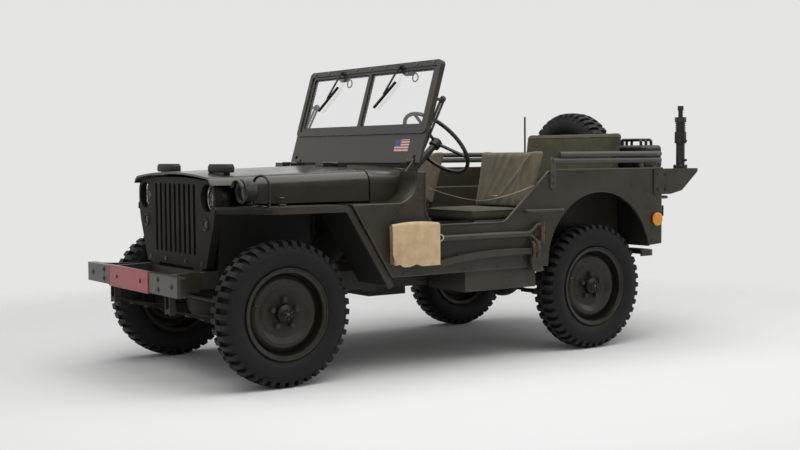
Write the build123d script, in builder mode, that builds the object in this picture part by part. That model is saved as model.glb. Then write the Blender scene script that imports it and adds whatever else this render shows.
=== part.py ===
"""Open quarter-ton army car in millimetres: X forward, Y left, Z up, on the ground at mid length."""

import os
from math import atan2, cos, degrees, radians, sin

from build123d import *

os.makedirs("parts", exist_ok=True)

# Wheels and axles
wheelbase = 2032
track = 1244
front_overhang = 524
rear_overhang = 794
front_axle_x = (wheelbase + rear_overhang - front_overhang) / 2
rear_axle_x = front_axle_x - wheelbase
tyre_radius = 360
tyre_half = 79
lug_count = 42
lug_width = 26
lug_depth = 17
bead_radius = 212
bead_half = 50
wheel_z = tyre_radius
wheel_y = track / 2
kingpin_y = 530
spindle_radius = 30
diff_y = -150

# Frame
rail_y = 345
rail_half = 23
rail_end_x = -1345
floor_z = 560
rear_floor_z = 650
bumper_x = front_axle_x + front_overhang
bumper_half = 568
bumper_bottom_z = 464
bumper_top_z = 562

# Body
wall = 18
body_half = 740
inner_half = body_half - wall
body_top_z = 1035
sill_z = 760
body_bottom_z = 505
tail_x = -1382
door_x = 368
pillar_x = 415
ledge_z = 882
box_y = 455
box_top_z = 915
box_front_x = -455
box_rear_x = -1290

# Hood, cowl and grille
hood_front_x = 1443
hood_rear_x = 615
cowl_front_x = 605
cowl_rear_x = 325
hood_front_half = 475
hood_half = 590
hood_front_top = 1048
hood_top = 1072
hood_base = 892
hood_wall = 10
crown = 22
shoulder = 70
grille_x = 1405
grille_wall = 15
lamp_y = 375
lamp_z = 922

# Windshield
pivot_x = 340
pivot_z = 1092
lean = radians(16.5)
bracket_y = hood_half + 14
shield_half = bracket_y + 61
seat_gap = 0.3
shield_height = 553

# Steering wheel and column
helm = (20, 370, 1188)
helm_radius = 215
column_angle = radians(42)
column_dir = (cos(column_angle), 0, -sin(column_angle))


def save(piece, name):
    """Label one finished piece and write its STEP file."""
    piece.part.label = name
    export_step(piece.part, f"parts/{name}.step")


def side_plane(y):
    """Upright plane at Y, drawn in X and Z, extruding toward -Y."""
    return Plane.XZ.offset(-y)


def block(x0, x1, y0, y1, z0, z1, mode=Mode.ADD):
    """Box between two corners."""
    with Locations(((x0 + x1) / 2, (y0 + y1) / 2, (z0 + z1) / 2)):
        Box(x1 - x0, y1 - y0, z1 - z0, mode=mode)


def rod(start, end, radius, mode=Mode.ADD):
    """Round bar between two points."""
    run = Vector(*end) - Vector(*start)
    with BuildSketch(Plane(origin=start, z_dir=run)) as section:
        Circle(radius)
    extrude(section.sketch, amount=run.length, mode=mode)


def tube(points, radius, bend):
    """Bent round bar along a polyline with rounded corners."""
    with BuildLine() as route:
        path = FilletPolyline(*points, radius=bend)
    with BuildSketch(Plane(origin=path @ 0, z_dir=path % 0)) as section:
        Circle(radius)
    sweep(section.sketch, path=route.wire())


def strip(points, thickness, bend):
    """Face of even thickness on the left hand of a rounded polyline."""
    with BuildLine() as outline:
        FilletPolyline(*points, radius=bend)
        offset(amount=thickness, side=Side.LEFT)
    make_face(outline.edges())


def arch(half, top, base, corner):
    """Crowned hood section with rounded shoulders, drawn in Y and Z."""
    flat = top - crown
    bow = corner * (1 - cos(radians(45)))
    with BuildLine() as outline:
        Line((-half, base), (half, base))
        Line((half, base), (half, flat - corner))
        ThreePointArc((half, flat - corner), (half - bow, flat - bow), (half - corner, flat))
        ThreePointArc((half - corner, flat), (0, top), (corner - half, flat))
        ThreePointArc((corner - half, flat), (bow - half, flat - bow), (-half, flat - corner))
        Line((-half, flat - corner), (-half, base))
    make_face(outline.edges())


def wheel_plane(x, y, side):
    """Plane with its X along the axle, outward, and its Y along the radius."""
    return Plane(origin=(x, y, wheel_z), x_dir=(0, side, 0), z_dir=(side, 0, 0))


# Tyres and wheels: a casing with bar lugs over each shoulder, a pressed disc and a drum
tread_radius = tyre_radius - lug_depth
edge_radius = tread_radius - 13
lug_top = (tyre_radius**2 - (lug_width / 2) ** 2) ** 0.5
lug_turn = degrees(atan2(lug_width / 2, lug_top))
lug_outline = (
    (-4, tread_radius - 6), (-4, lug_top), (tyre_half - 33, lug_top - 2), (tyre_half - 12, tyre_radius - 11),
    (tyre_half - 4, tyre_radius - 39), (tyre_half - 16, tyre_radius - 42),
)
rim_profile = (
    (20, 118), (36, 146), (36, 164), (14, 194), (14, 200), (54, 202), (60, 218), (66, 221),
    (66, 226), (57, 226), (57, bead_radius - seat_gap), (-57, bead_radius - seat_gap), (-57, 226), (-66, 226),
    (-60, 218), (-54, 202), (4, 200), (4, 188), (25, 160), (25, 148),
)
hub_profile = ((15, 0), (62, 0), (62, 28), (46, 46), (24, 48))
drum_profile = ((10, 130), (-21, 130), (-21, spindle_radius + 0.2), (15, spindle_radius + 0.2))

# One tyre about the X axis, its lugs in two rows half a pitch apart
with BuildPart() as tyre:
    with BuildSketch():
        with BuildLine():
            Polyline((-55, 228), (-bead_half, bead_radius), (bead_half, bead_radius), (55, 228))
            ThreePointArc((55, 228), (tyre_half, 285), (tyre_half - 11, edge_radius))
            ThreePointArc((tyre_half - 11, edge_radius), (0, tread_radius), (11 - tyre_half, edge_radius))
            ThreePointArc((11 - tyre_half, edge_radius), (-tyre_half, 285), (-55, 228))
        make_face()
    revolve(axis=Axis.X)
    with BuildPart(mode=Mode.PRIVATE) as lug:
        with BuildSketch():
            with BuildLine():
                Polyline(*lug_outline, close=True)
            make_face()
        extrude(amount=lug_width / 2, both=True)
    far_lug = mirror(lug.part, about=Plane.YZ)
    pitch = 360 / lug_count
    lug_row = [lug.part.rotate(Axis.X, pitch * step + lug_turn) for step in range(lug_count)]
    far_row = [far_lug.rotate(Axis.X, pitch * (step + 0.5) + lug_turn) for step in range(lug_count)]
    add(lug_row + far_row)


def tyre_at(plane):
    """One tyre around the axis of a wheel plane."""
    with BuildPart() as placed:
        add(plane.location * tyre.part)
    return placed


def wheel_at(plane, driven=True):
    """One steel wheel; a driven one carries its hub and drum."""
    inner = hub_profile if driven else ((10, 52), (20, 52))
    back = drum_profile if driven else ((10, 122),)
    with BuildPart() as wheel:
        with BuildSketch(plane):
            with BuildLine():
                Polyline(*inner, *rim_profile, *back, close=True)
            make_face()
        revolve(axis=Axis(plane.origin, plane.x_dir))
    return wheel


wheel_places = (
    ("front_left", front_axle_x, 1),
    ("front_right", front_axle_x, -1),
    ("rear_left", rear_axle_x, 1),
    ("rear_right", rear_axle_x, -1),
)
for place, x, side in wheel_places:
    axle_plane = wheel_plane(x, side * wheel_y, side)
    save(tyre_at(axle_plane), f"tyre_{place}")
    save(wheel_at(axle_plane), f"wheel_{place}")

spare_plane = Plane(origin=(-1510, -185, 1030), x_dir=(-1, 0, 0), z_dir=(0, 1, 0))
save(tyre_at(spare_plane), "spare_tyre")
save(wheel_at(spare_plane, driven=False), "spare_wheel")

# Frame: two kicked-up rails, cross members, spring hangers, body mounts and the tow pintle
rail_outline = (
    (1667, 553), (1060, 565), (780, 515), (-445, 515), (-640, 610), (rail_end_x, 610),
    (rail_end_x, 515), (-600, 505), (-420, 410), (760, 410), (1010, 473), (1667, 473),
)
cross_members = ((1350, 1420, 478, 553), (420, 500, 395, 411), (-360, -300, 420, 510), (rail_end_x, -1285, 515, 610))
spring_eyes = ((691, 430), (1611, 490), (-461, 450), (-1301, 530))
eye_z = 378
mount_y = body_half - 100
rail_out = rail_y + rail_half
body_mounts = (
    (370, 430, mount_y, 514, floor_z), (-453, -405, mount_y, 514, floor_z),
    (-780, -720, rail_out, 609, rear_floor_z), (-1270, -1210, rail_out, 609, rear_floor_z),
)
pintle = (-1405, 0, 540)
pintle_bore = 24
with BuildPart() as frame:
    with BuildSketch(side_plane(rail_y + rail_half)):
        with BuildLine():
            Polyline(*rail_outline, close=True)
        make_face()
    extrude(amount=2 * rail_half)
    for x, top in spring_eyes:
        for y0 in (rail_y - 28.3, rail_y + 20.3):
            block(x - 16, x + 16, y0, y0 + 8, eye_z - 18, top)
    for x0, x1, y1, z0, z1 in body_mounts:
        block(x0, x1, rail_y - rail_half, y1, z0, z1)
    mirror(about=Plane.XZ)
    for x0, x1, z0, z1 in cross_members:
        block(x0, x1, -rail_y, rail_y, z0, z1)
    block(-1380, rail_end_x, -60, 60, 518, 586)
    with BuildSketch(side_plane(20)):
        with Locations((pintle[0], pintle[2])):
            Circle(48)
    extrude(amount=40)
    rod((pintle[0], 40, pintle[2]), (pintle[0], -40, pintle[2]), pintle_bore, mode=Mode.SUBTRACT)
save(frame, "frame")

# Front bumper: a channel with its ends swept back to the rails
bumper_web = 8
bumper_back_x = bumper_x - 43
plate_y = -14
plate_z = (bumper_bottom_z + bumper_top_z) / 2
plate_holes = 300
sweep_radius = bumper_half - rail_out - seat_gap
sweep_x = bumper_x - bumper_web - 1 - sweep_radius
with BuildPart() as front_bumper:
    with BuildSketch(side_plane(bumper_half)):
        with BuildLine():
            Polyline(
                (bumper_x, bumper_bottom_z), (bumper_x, bumper_top_z), (bumper_back_x, bumper_top_z),
                (bumper_back_x, bumper_top_z - bumper_web), (bumper_x - bumper_web, bumper_top_z - bumper_web),
                (bumper_x - bumper_web, bumper_bottom_z + bumper_web),
                (bumper_back_x, bumper_bottom_z + bumper_web), (bumper_back_x, bumper_bottom_z), close=True,
            )
        make_face()
    extrude(amount=2 * bumper_half)
    with BuildSketch(Plane.XY.offset(bumper_bottom_z)):
        for side in (1, -1):
            with BuildLine():
                outer = CenterArc((sweep_x, side * bumper_half), sweep_radius, 0, -90 * side)
                inner = CenterArc((sweep_x, side * bumper_half), sweep_radius - bumper_web, 0, -90 * side)
                Line(outer @ 0, inner @ 0)
                Line(outer @ 1, inner @ 1)
            make_face()
    extrude(amount=bumper_top_z - bumper_bottom_z)
    for y in (plate_y - plate_holes / 2, plate_y + plate_holes / 2):
        rod((bumper_x + 1, y, plate_z), (bumper_x - 20, y, plate_z), 5, mode=Mode.SUBTRACT)
save(front_bumper, "front_bumper")

# Rear bumperettes: one bent flat bar behind each rail
with BuildPart() as rear_bumperettes:
    with BuildSketch(Plane.XY.offset(498)):
        strip(((rail_end_x, 340), (-1500, 340), (-1500, 550), (-1390, 550)), 14, 40)
    extrude(amount=36)
    mirror(about=Plane.XZ)
save(rear_bumperettes, "rear_bumperettes")

# Axles: tubes, differential housings, spring seats, and kingpins or drum backing plates at the ends
backing_y = 587
backing_radius = 120
seat_z = 322.5


def axle_core(x, nose):
    """Tube, housing and pinion nose of one axle; nose is +1 or -1 along X."""
    rod((x, -490, wheel_z), (x, 490, wheel_z), 38)
    with Locations((x, diff_y, wheel_z)):
        Sphere(130)
    rod((x, diff_y, wheel_z + 5), (x + 215 * nose, diff_y, wheel_z + 5), 45)
    for side in (1, -1):
        block(x - 20, x + 20, side * rail_y - 24, side * rail_y + 24, seat_z, wheel_z)


with BuildPart() as front_axle:
    axle_core(front_axle_x, -1)
    for side in (1, -1):
        with Locations((front_axle_x, side * kingpin_y, wheel_z)):
            Sphere(55)
            Cylinder(14, 152)
save(front_axle, "front_axle")

with BuildPart() as rear_axle:
    axle_core(rear_axle_x, 1)
    for side in (1, -1):
        rod((rear_axle_x, side * 480, wheel_z), (rear_axle_x, side * backing_y, wheel_z), 38)
        rod((rear_axle_x, side * backing_y, wheel_z), (rear_axle_x, side * (backing_y + 12), wheel_z), backing_radius)
        rod((rear_axle_x, side * backing_y, wheel_z), (rear_axle_x, side * 634, wheel_z), spindle_radius)
save(rear_axle, "rear_axle")

# Steering knuckles: backing plate, spindle, two kingpin arms and the arm to the tie rod
arm_reach = 165
arm_end_y = 505
for side, place in ((1, "left"), (-1, "right")):
    with BuildPart() as knuckle:
        rod((front_axle_x, side * backing_y, wheel_z), (front_axle_x, side * (backing_y + 12), wheel_z), backing_radius)
        rod((front_axle_x, side * backing_y, wheel_z), (front_axle_x, side * 634, wheel_z), spindle_radius)
        for z0 in (wheel_z - 76, wheel_z + 58):
            block(front_axle_x - 26, front_axle_x + 26, *sorted((side * 506, side * (backing_y + 1))), z0, z0 + 18)
        with BuildSketch(Plane.XY.offset(wheel_z + 58)):
            with BuildLine():
                Polyline(
                    (front_axle_x, side * 550), (front_axle_x, side * 508),
                    (front_axle_x + arm_reach + 18, side * (arm_end_y - 16)),
                    (front_axle_x + arm_reach + 18, side * (arm_end_y + 16)), close=True,
                )
            make_face()
        extrude(amount=18)
        rod((front_axle_x, side * kingpin_y, 200), (front_axle_x, side * kingpin_y, 520), 14.2, mode=Mode.SUBTRACT)
    save(knuckle, f"knuckle_{place}")

# Tie rod under the two steering arms
tie_z = wheel_z + 38
with BuildPart() as tie_rod:
    rod((front_axle_x + arm_reach, -arm_end_y, tie_z), (front_axle_x + arm_reach, arm_end_y, tie_z), 13)
    with Locations(
        (front_axle_x + arm_reach, arm_end_y, tie_z), (front_axle_x + arm_reach, -arm_end_y, tie_z)
    ):
        Cylinder(17, 2 * (20 - seat_gap))
save(tie_rod, "tie_rod")

# Leaf springs: five concentric leaves each, with eyes held in the frame's hangers
leaf = 8
spring_sets = ((front_axle_x, 460), (rear_axle_x, 420))
rise = eye_z - 314
with BuildPart() as leaf_springs:
    for x, reach in spring_sets:
        bend = (reach**2 + rise**2) / (2 * rise)
        middle = (x, eye_z - rise + bend)
        with BuildSketch(side_plane(rail_y + 20)):
            for step in range(5):
                span = 2 * (reach - 85 * step) / bend * 57.3
                inner = bend - 4 + leaf * step
                with BuildLine():
                    low = CenterArc(middle, inner + leaf + 0.4, 270 - span / 2, span)
                    high = CenterArc(middle, inner, 270 - span / 2, span)
                    Line(low @ 0, high @ 0)
                    Line(low @ 1, high @ 1)
                make_face()
            with Locations((x - reach, eye_z), (x + reach, eye_z)):
                Circle(16)
        extrude(amount=40)
    mirror(about=Plane.XZ)
save(leaf_springs, "leaf_springs")

# Power unit: engine, sump, gearbox and transfer case as one plain block on its mounts
power_blocks = (
    (690, 1230, -160, 160, 560, 900),
    (740, 1180, -95, 95, 900, 985),
    (690, 980, -112, 112, 400, 560),
    (250, 690, -118, 118, 411, 555),
    (60, 310, -250, 118, 335, 555),
    (1190, 1230, rail_half - rail_y, rail_y - rail_half, 520, 556),
    (1190, 1230, -120, 120, 520, 562),
)
with BuildPart() as power_unit:
    for corners in power_blocks:
        block(*corners)
save(power_unit, "power_unit")

shaft_z = wheel_z + 5
shaft_runs = ((310, front_axle_x - 215), (60, rear_axle_x + 215))
with BuildPart() as propeller_shafts:
    for x0, x1 in shaft_runs:
        rod((x0, diff_y, shaft_z), (x1, diff_y, shaft_z), 24)
save(propeller_shafts, "propeller_shafts")

# Exhaust: down pipe under the right rail, silencer and side outlet
with BuildPart() as exhaust:
    tube(((800, -160, 600), (800, -240, 600), (660, -240, 372), (520, -470, 372), (430, -470, 430)), 20, 45)
    rod((440, -470, 430), (0, -470, 430), 62)
    tube(((10, -470, 430), (-180, -470, 430), (-260, -700, 430)), 20, 60)
    block(200, 230, -480, -460, 480, floor_z)
save(exhaust, "exhaust")

# Fuel tank through the floor below the driver's seat
tank = (-400, 90, rail_out + 17, inner_half - 7)
tank_top_z = 690
with BuildPart() as fuel_tank:
    block(*tank, 395, tank_top_z)
save(fuel_tank, "fuel_tank")

# Floor: front pan, riser, toe board and rear pan between the wheel boxes
column_plane = Plane(origin=helm, x_dir=(0, 1, 0), z_dir=column_dir)
with BuildPart() as floor:
    with BuildSketch(side_plane(inner_half)):
        with BuildLine():
            Polyline(
                (cowl_front_x, floor_z), (box_front_x, floor_z), (box_front_x, rear_floor_z),
                (tail_x + wall, rear_floor_z), (tail_x + wall, rear_floor_z + 15), (box_front_x + 15, rear_floor_z + 15),
                (box_front_x + 15, floor_z + 15), (cowl_front_x, floor_z + 15), close=True,
            )
        make_face()
        with BuildLine():
            Polyline((462, floor_z + 14), (590, 703), (590, 688), (477, floor_z + 14), close=True)
        make_face()
    extrude(amount=2 * inner_half)
    for y0, y1 in ((box_y, inner_half), (-inner_half, -box_y)):
        block(box_rear_x, box_front_x, y0, y1, rear_floor_z - 1, rear_floor_z + 16, mode=Mode.SUBTRACT)
    block(*tank, floor_z - 1, floor_z + 16, mode=Mode.SUBTRACT)
    with BuildSketch(column_plane):
        Circle(32)
    extrude(amount=1100, mode=Mode.SUBTRACT)
save(floor, "floor")

# Body sides: cowl side, door cut-out, sloped quarter and wheel arch
arch_x = -876
arch_radius = 400
with BuildPart() as side_left:
    with BuildSketch(side_plane(body_half)):
        with BuildLine():
            Polyline((575, body_bottom_z), (808, ledge_z), (pillar_x + 125, ledge_z))
            CenterArc((pillar_x + 125, ledge_z + 125), 125, 270, -90)
            Polyline((pillar_x, ledge_z + 125), (pillar_x, 1040), (door_x, 1040), (door_x, sill_z + 95))
            CenterArc((door_x - 95, sill_z + 95), 95, 0, -90)
            FilletPolyline((door_x - 95, sill_z), (-164, sill_z), (-485, body_top_z), (tail_x, body_top_z), radius=80)
            Polyline((tail_x, body_top_z), (tail_x, 588), (arch_x - 393, 580))
            ThreePointArc(
                (arch_x - 393, 580), (arch_x, body_bottom_z + arch_radius), (arch_x + arch_radius, body_bottom_z)
            )
            Line((arch_x + arch_radius, body_bottom_z), (575, body_bottom_z))
        make_face()
    extrude(amount=wall)
    tail_edge = side_left.edges().filter_by(Axis.Z).filter_by_position(Axis.X, tail_x - 1, tail_x + 1)
    fillet(tail_edge.sort_by(Axis.Y)[-1], 16)
    rolled = side_left.faces().filter_by(Plane.XZ).sort_by(Axis.Y)[-1]
    fillet(rolled.outer_wire().edges(), 6)
save(side_left, "side_left")

with BuildPart() as side_right:
    add(mirror(side_left.part, about=Plane.XZ))
save(side_right, "side_right")

with BuildPart() as rear_panel:
    block(tail_x, tail_x + wall, -inner_half, inner_half, 588, body_top_z)
save(rear_panel, "rear_panel")

# Wheel boxes inside the quarters, open below and outward
with BuildPart() as wheel_boxes:
    block(box_rear_x, box_front_x, box_y, inner_half, floor_z + 15, box_top_z)
    block(box_rear_x + 15, box_front_x - 15, box_y + 15, inner_half + 1, floor_z, box_top_z - 15, mode=Mode.SUBTRACT)
    mirror(about=Plane.XZ)
save(wheel_boxes, "wheel_boxes")

# Cowl: crowned shell, firewall, ledges sweeping up into the pillars, dash, hinge and windshield brackets
hinge_z = hood_top + 11
hinge_radius = 8
hinge_ys = (-220, 220)
hinge_length = 80
with BuildPart() as cowl:
    with BuildSketch(Plane.YZ.offset(cowl_rear_x)):
        arch(hood_half, hood_top, ledge_z - 15, shoulder)
    extrude(amount=cowl_front_x - cowl_rear_x)
    with BuildSketch(Plane.YZ.offset(cowl_rear_x - 1)):
        arch(hood_half - 12, hood_top - 12, ledge_z - 30, shoulder - 12)
    extrude(amount=cowl_front_x - cowl_rear_x + 2, mode=Mode.SUBTRACT)
    with BuildSketch(Plane.YZ.offset(cowl_front_x - 15)):
        arch(hood_half - 6, hood_top - 6, ledge_z - 30, shoulder - 6)
        with Locations((0, (floor_z + 15 + ledge_z) / 2)):
            Rectangle(2 * inner_half, ledge_z - floor_z - 15)
    extrude(amount=15)
    with BuildSketch(Plane.YZ.offset(cowl_rear_x + 5)):
        arch(hood_half - 6, hood_top - 6, 905, shoulder - 6)
    extrude(amount=12)
    with BuildSketch(side_plane(inner_half)):
        with BuildLine():
            Line((808, ledge_z), (pillar_x + 125, ledge_z))
            CenterArc((pillar_x + 125, ledge_z + 125), 125, 270, -90)
            Polyline(
                (pillar_x, ledge_z + 125), (pillar_x, 1040), (pillar_x - 15, 1040), (pillar_x - 15, ledge_z + 125)
            )
            CenterArc((pillar_x + 125, ledge_z + 125), 140, 270, -90)
            Polyline((pillar_x + 125, ledge_z - 15), (798, ledge_z - 15), (808, ledge_z))
        make_face()
    extrude(amount=inner_half - hood_half + 8)
    block(cowl_rear_x + 5, pillar_x - 13, hood_half - 2, bracket_y + 14, 980, 1040)
    with BuildSketch(side_plane(bracket_y + 14)):
        with BuildLine():
            Polyline(
                (pivot_x - 14, 1030), (pillar_x - 15, 1030), (pillar_x - 15, 1040), (pivot_x + 14, pivot_z),
                (pivot_x - 14, pivot_z), close=True,
            )
        make_face()
        with Locations((pivot_x, pivot_z)):
            Circle(14)
    extrude(amount=14)
    mirror(about=Plane.XZ)
    for y in hinge_ys:
        rod((hood_rear_x - 5, y, hinge_z), (hood_rear_x - 5, y + hinge_length, hinge_z), hinge_radius)
        block(560, hood_rear_x - 6, y, y + hinge_length, hood_top - 12, hinge_z + 4)
    with BuildSketch(column_plane):
        Circle(32)
    extrude(amount=1100, mode=Mode.SUBTRACT)
save(cowl, "cowl")

# Hood: crowned shell widening to the cowl, cut back over the headlamps, with hinge knuckles and two rest blocks
hood_cut_x = 1225
block_x = 1309
block_y = 310
with BuildPart() as hood:
    with BuildSketch(Plane.YZ.offset(hood_rear_x)):
        arch(hood_half, hood_top, hood_base, shoulder)
    with BuildSketch(Plane.YZ.offset(hood_front_x)):
        arch(hood_front_half, hood_front_top, hood_base, shoulder)
    loft()
    with BuildSketch(Plane.YZ.offset(hood_rear_x - 0.01)):
        arch(hood_half - hood_wall, hood_top - hood_wall, hood_base - 1, shoulder - hood_wall)
    with BuildSketch(Plane.YZ.offset(hood_front_x + 0.01)):
        arch(hood_front_half - hood_wall, hood_front_top - hood_wall, hood_base - 1, shoulder - hood_wall)
    loft(mode=Mode.SUBTRACT)
    with BuildSketch(side_plane(700)):
        with BuildLine():
            FilletPolyline((hood_cut_x, 880), (hood_cut_x, 985), (hood_front_x + 5, 985), radius=40)
            Polyline((hood_front_x + 5, 985), (hood_front_x + 5, 880), (hood_cut_x, 880))
        make_face()
    extrude(amount=1400, mode=Mode.SUBTRACT)
    for side in (1, -1):
        block(block_x - 18, block_x + 18, side * block_y - 62, side * block_y + 62, 1036, 1064)
    for y in hinge_ys:
        knuckle_end = y - seat_gap
        rod((hood_rear_x - 5, knuckle_end, hinge_z), (hood_rear_x - 5, knuckle_end - hinge_length, hinge_z), hinge_radius)
        block(hood_rear_x - 4, 660, knuckle_end - hinge_length, knuckle_end, hood_top - 9, hinge_z + 4)
save(hood, "hood")

# Grille: pressed panel with nine upright slots and four lamp openings
slot_count = 9
slot_pitch = 57
slot_width = 28
slot_bottom_z = 630
slot_top_z = 990
marker_y = 357
marker_z = 790
lamp_hole = 70
flange_wall = 8
flange_depth = 25
with BuildPart() as grille:
    with BuildSketch(Plane.YZ.offset(grille_x)) as panel:
        with BuildLine() as edge:
            Line((-352, 572), (352, 572))
            Polyline((352, 572), (440, 790), (457, 860), (457, 945))
            ThreePointArc((457, 945), (437, 990), (392, 1005))
            ThreePointArc((392, 1005), (0, 1022), (-392, 1005))
            ThreePointArc((-392, 1005), (-437, 990), (-457, 945))
            Polyline((-457, 945), (-457, 860), (-440, 790), (-352, 572))
        make_face()
        with Locations((0, (slot_bottom_z + slot_top_z) / 2)):
            with GridLocations(slot_pitch, 0, slot_count, 1):
                SlotOverall(slot_top_z - slot_bottom_z, slot_width, rotation=90, mode=Mode.SUBTRACT)
        with Locations((lamp_y, lamp_z), (-lamp_y, lamp_z)):
            Circle(lamp_hole, mode=Mode.SUBTRACT)
        with Locations((marker_y, marker_z), (-marker_y, marker_z)):
            Circle(33, mode=Mode.SUBTRACT)
    extrude(amount=grille_wall)
    with BuildSketch(Plane.YZ.offset(grille_x)):
        make_face(edge.edges())
        offset(amount=-flange_wall, mode=Mode.SUBTRACT)
    extrude(amount=-flange_depth)
    for side in (1, -1):
        block(grille_x, grille_x + grille_wall, side * 260 - 50, side * 260 + 50, 553, 580)
save(grille, "grille")

with BuildPart() as radiator:
    block(grille_x - flange_depth - 48, grille_x - flange_depth - 2, -290, 290, 553, 998)
save(radiator, "radiator")

# Lamps: headlamps and marker lamps behind the grille, blackout lamp on the left fender
fender_top_z = 880
blackout = (1265, 600, 957)
bowl_back_x = 1290
bowl_profile = ((0, 0), (0, 24), (22, 48), (60, 64), (109, 64), (109, 71), (115, 71))
dome_profile = ((115, 71), (115, lamp_hole - 2), (125, lamp_hole - 4))
shade_profile = ((0, 0), (0, 20), (14, 42), (38, 56), (85, 56), (85, 48), (76, 48), (76, 0))


def turned(outline, bow, start, length):
    """Body turned about X from a point: an outline of X and radius, closed by a bowed front."""
    base = Plane(origin=start, x_dir=(1, 0, 0), z_dir=(0, 0, 1))
    with BuildSketch(base) as section:
        with BuildLine():
            Polyline(*outline)
            if bow:
                rim = outline[-1][1]
                ball = (rim**2 + bow**2) / (2 * bow)
                ThreePointArc(outline[-1], (length - ball + (ball**2 - rim**2 / 4) ** 0.5, rim / 2), (length, 0))
                Line((length, 0), outline[0])
            else:
                Line(outline[-1], outline[0])
        make_face()
    revolve(section.sketch, axis=Axis(start, (1, 0, 0)))


with BuildPart() as front_lamps:
    for side in (1, -1):
        turned(bowl_profile + dome_profile[1:], 12, (bowl_back_x, side * lamp_y, lamp_z), 137)
        rod((1370, side * marker_y, marker_z), (1418, side * marker_y, marker_z), 30)
        with Locations((1418, side * marker_y, marker_z)):
            Sphere(30)
        block(1399, grille_x, side * marker_y - 42, side * marker_y + 42, marker_z - 12, marker_z + 12)
    turned(shade_profile, 0, blackout, 85)
    lamp_front_x = blackout[0] + 85
    with BuildSketch(Plane.YZ.offset(lamp_front_x - 5)):
        with Locations((blackout[1], blackout[2])):
            Circle(54)
            Circle(51, mode=Mode.SUBTRACT)
            with Locations((0, -40)):
                Rectangle(120, 70, mode=Mode.SUBTRACT)
    extrude(amount=30)
    rod((blackout[0] + 40, blackout[1], fender_top_z), (blackout[0] + 40, blackout[1], blackout[2] - 40), 14)
    block(blackout[0] + 10, lamp_front_x - 5, blackout[1] - 34, blackout[1] + 34, fender_top_z, fender_top_z + 8)
    guard_x = blackout[0] - 24
    tube(
        ((guard_x, blackout[1] - 78, fender_top_z), (guard_x, blackout[1] - 78, blackout[2] + 74),
         (guard_x, blackout[1] + 78, blackout[2] + 74), (guard_x, blackout[1] + 78, fender_top_z)), 7, 50,
    )
    block(guard_x, blackout[0] + 12, blackout[1] - 78, blackout[1] + 78, fender_top_z, fender_top_z + 7)
save(front_lamps, "front_lamps")

# Front fenders: flat top, sloped tail, turned-down lip, front corner cut across, and the inner apron
fender_out = body_half - 20
slope_top = (812, fender_top_z)
slope_bottom = (552, 465)
apron = (368, 380)
with BuildPart() as fenders:
    with BuildSketch(side_plane(fender_out)):
        strip((slope_bottom, slope_top, (1420, fender_top_z))[::-1], 12, 50)
    extrude(amount=fender_out - 405)
    with BuildSketch(side_plane(fender_out)):
        strip((slope_bottom, slope_top, (1420, fender_top_z))[::-1], 34, 50)
    extrude(amount=12)
    block(840, 1420, apron[0], 406, fender_top_z - 12, fender_top_z)
    with BuildSketch(Plane.XY.offset(300)):
        with BuildLine():
            Polyline((1421, 470), (1220, 721), (1421, 721), close=True)
        make_face()
    extrude(amount=700, mode=Mode.SUBTRACT)
    with BuildSketch(Plane.XY.offset(fender_top_z - 34)):
        with BuildLine():
            Polyline((1420, 471), (1220, 720), (1205, 720), (1405, 471), close=True)
        make_face()
    extrude(amount=34)
    block(840, 1362, *apron, 500, fender_top_z)
    block(1275, 1430, 360, 463, 840, fender_top_z + 5, mode=Mode.SUBTRACT)
    mirror(about=Plane.XZ)
save(fenders, "fenders")

# Windshield: folding outer frame with a lower panel, divided glass frame and two slotted prop arms
shield_plane = Plane(
    origin=(pivot_x, 0, pivot_z), x_dir=(0, 1, 0), z_dir=(cos(lean), 0, sin(lean))
)
prop_y = shield_half - 26
prop_low = (314, 1148)
prop_high = (176, 1416)
prop_run = Vector(prop_high[0] - prop_low[0], prop_high[1] - prop_low[1])
prop_length = prop_run.length
prop_angle = degrees(atan2(prop_run.Y, prop_run.X))
glass_low = 200
glass_high = 508
glass_in = 16
glass_out = shield_half - 59
with BuildPart() as windshield_frame:
    with BuildSketch(shield_plane.offset(-8)):
        with Locations((0, 85)):
            Rectangle(2 * shield_half, 190)
    extrude(amount=16)
    with BuildSketch(shield_plane.offset(-15)):
        with Locations((0, (150 + shield_height) / 2)):
            RectangleRounded(2 * shield_half, shield_height - 150, 28)
        with Locations((0, (178 + shield_height - 30) / 2)):
            Rectangle(2 * (shield_half - 32), shield_height - 30 - 178, mode=Mode.SUBTRACT)
    extrude(amount=30)
    with BuildSketch(shield_plane.offset(-9)):
        with Locations((0, (176 + shield_height - 28) / 2)):
            Rectangle(2 * (shield_half - 31), shield_height - 28 - 176)
        with Locations(
            ((glass_in + glass_out) / 2, (glass_low + glass_high) / 2),
            (-(glass_in + glass_out) / 2, (glass_low + glass_high) / 2),
        ):
            RectangleRounded(glass_out - glass_in, glass_high - glass_low, 12, mode=Mode.SUBTRACT)
    extrude(amount=18)
    for side in (1, -1):
        with BuildSketch(shield_plane.offset(-25)):
            with Locations((side * (bracket_y + 7), 0)):
                Rectangle(26, 60)
        extrude(amount=50, mode=Mode.SUBTRACT)
        rod((pivot_x, side * 555, pivot_z), (pivot_x, side * (bracket_y - seat_gap), pivot_z), 14)
        with BuildSketch(side_plane(side * prop_y + 6)):
            with Locations(((prop_low[0] + prop_high[0]) / 2, (prop_low[1] + prop_high[1]) / 2)):
                SlotCenterToCenter(prop_length, 26, rotation=prop_angle)
                SlotCenterToCenter(prop_length - 44, 9, rotation=prop_angle, mode=Mode.SUBTRACT)
        extrude(amount=12)
        rod((prop_high[0], side * prop_y, prop_high[1]), (240, side * prop_y, prop_high[1]), 8)
        with Locations((prop_high[0] - 2, side * prop_y, prop_high[1] + 2)):
            Sphere(17)
save(windshield_frame, "windshield_frame")

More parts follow.
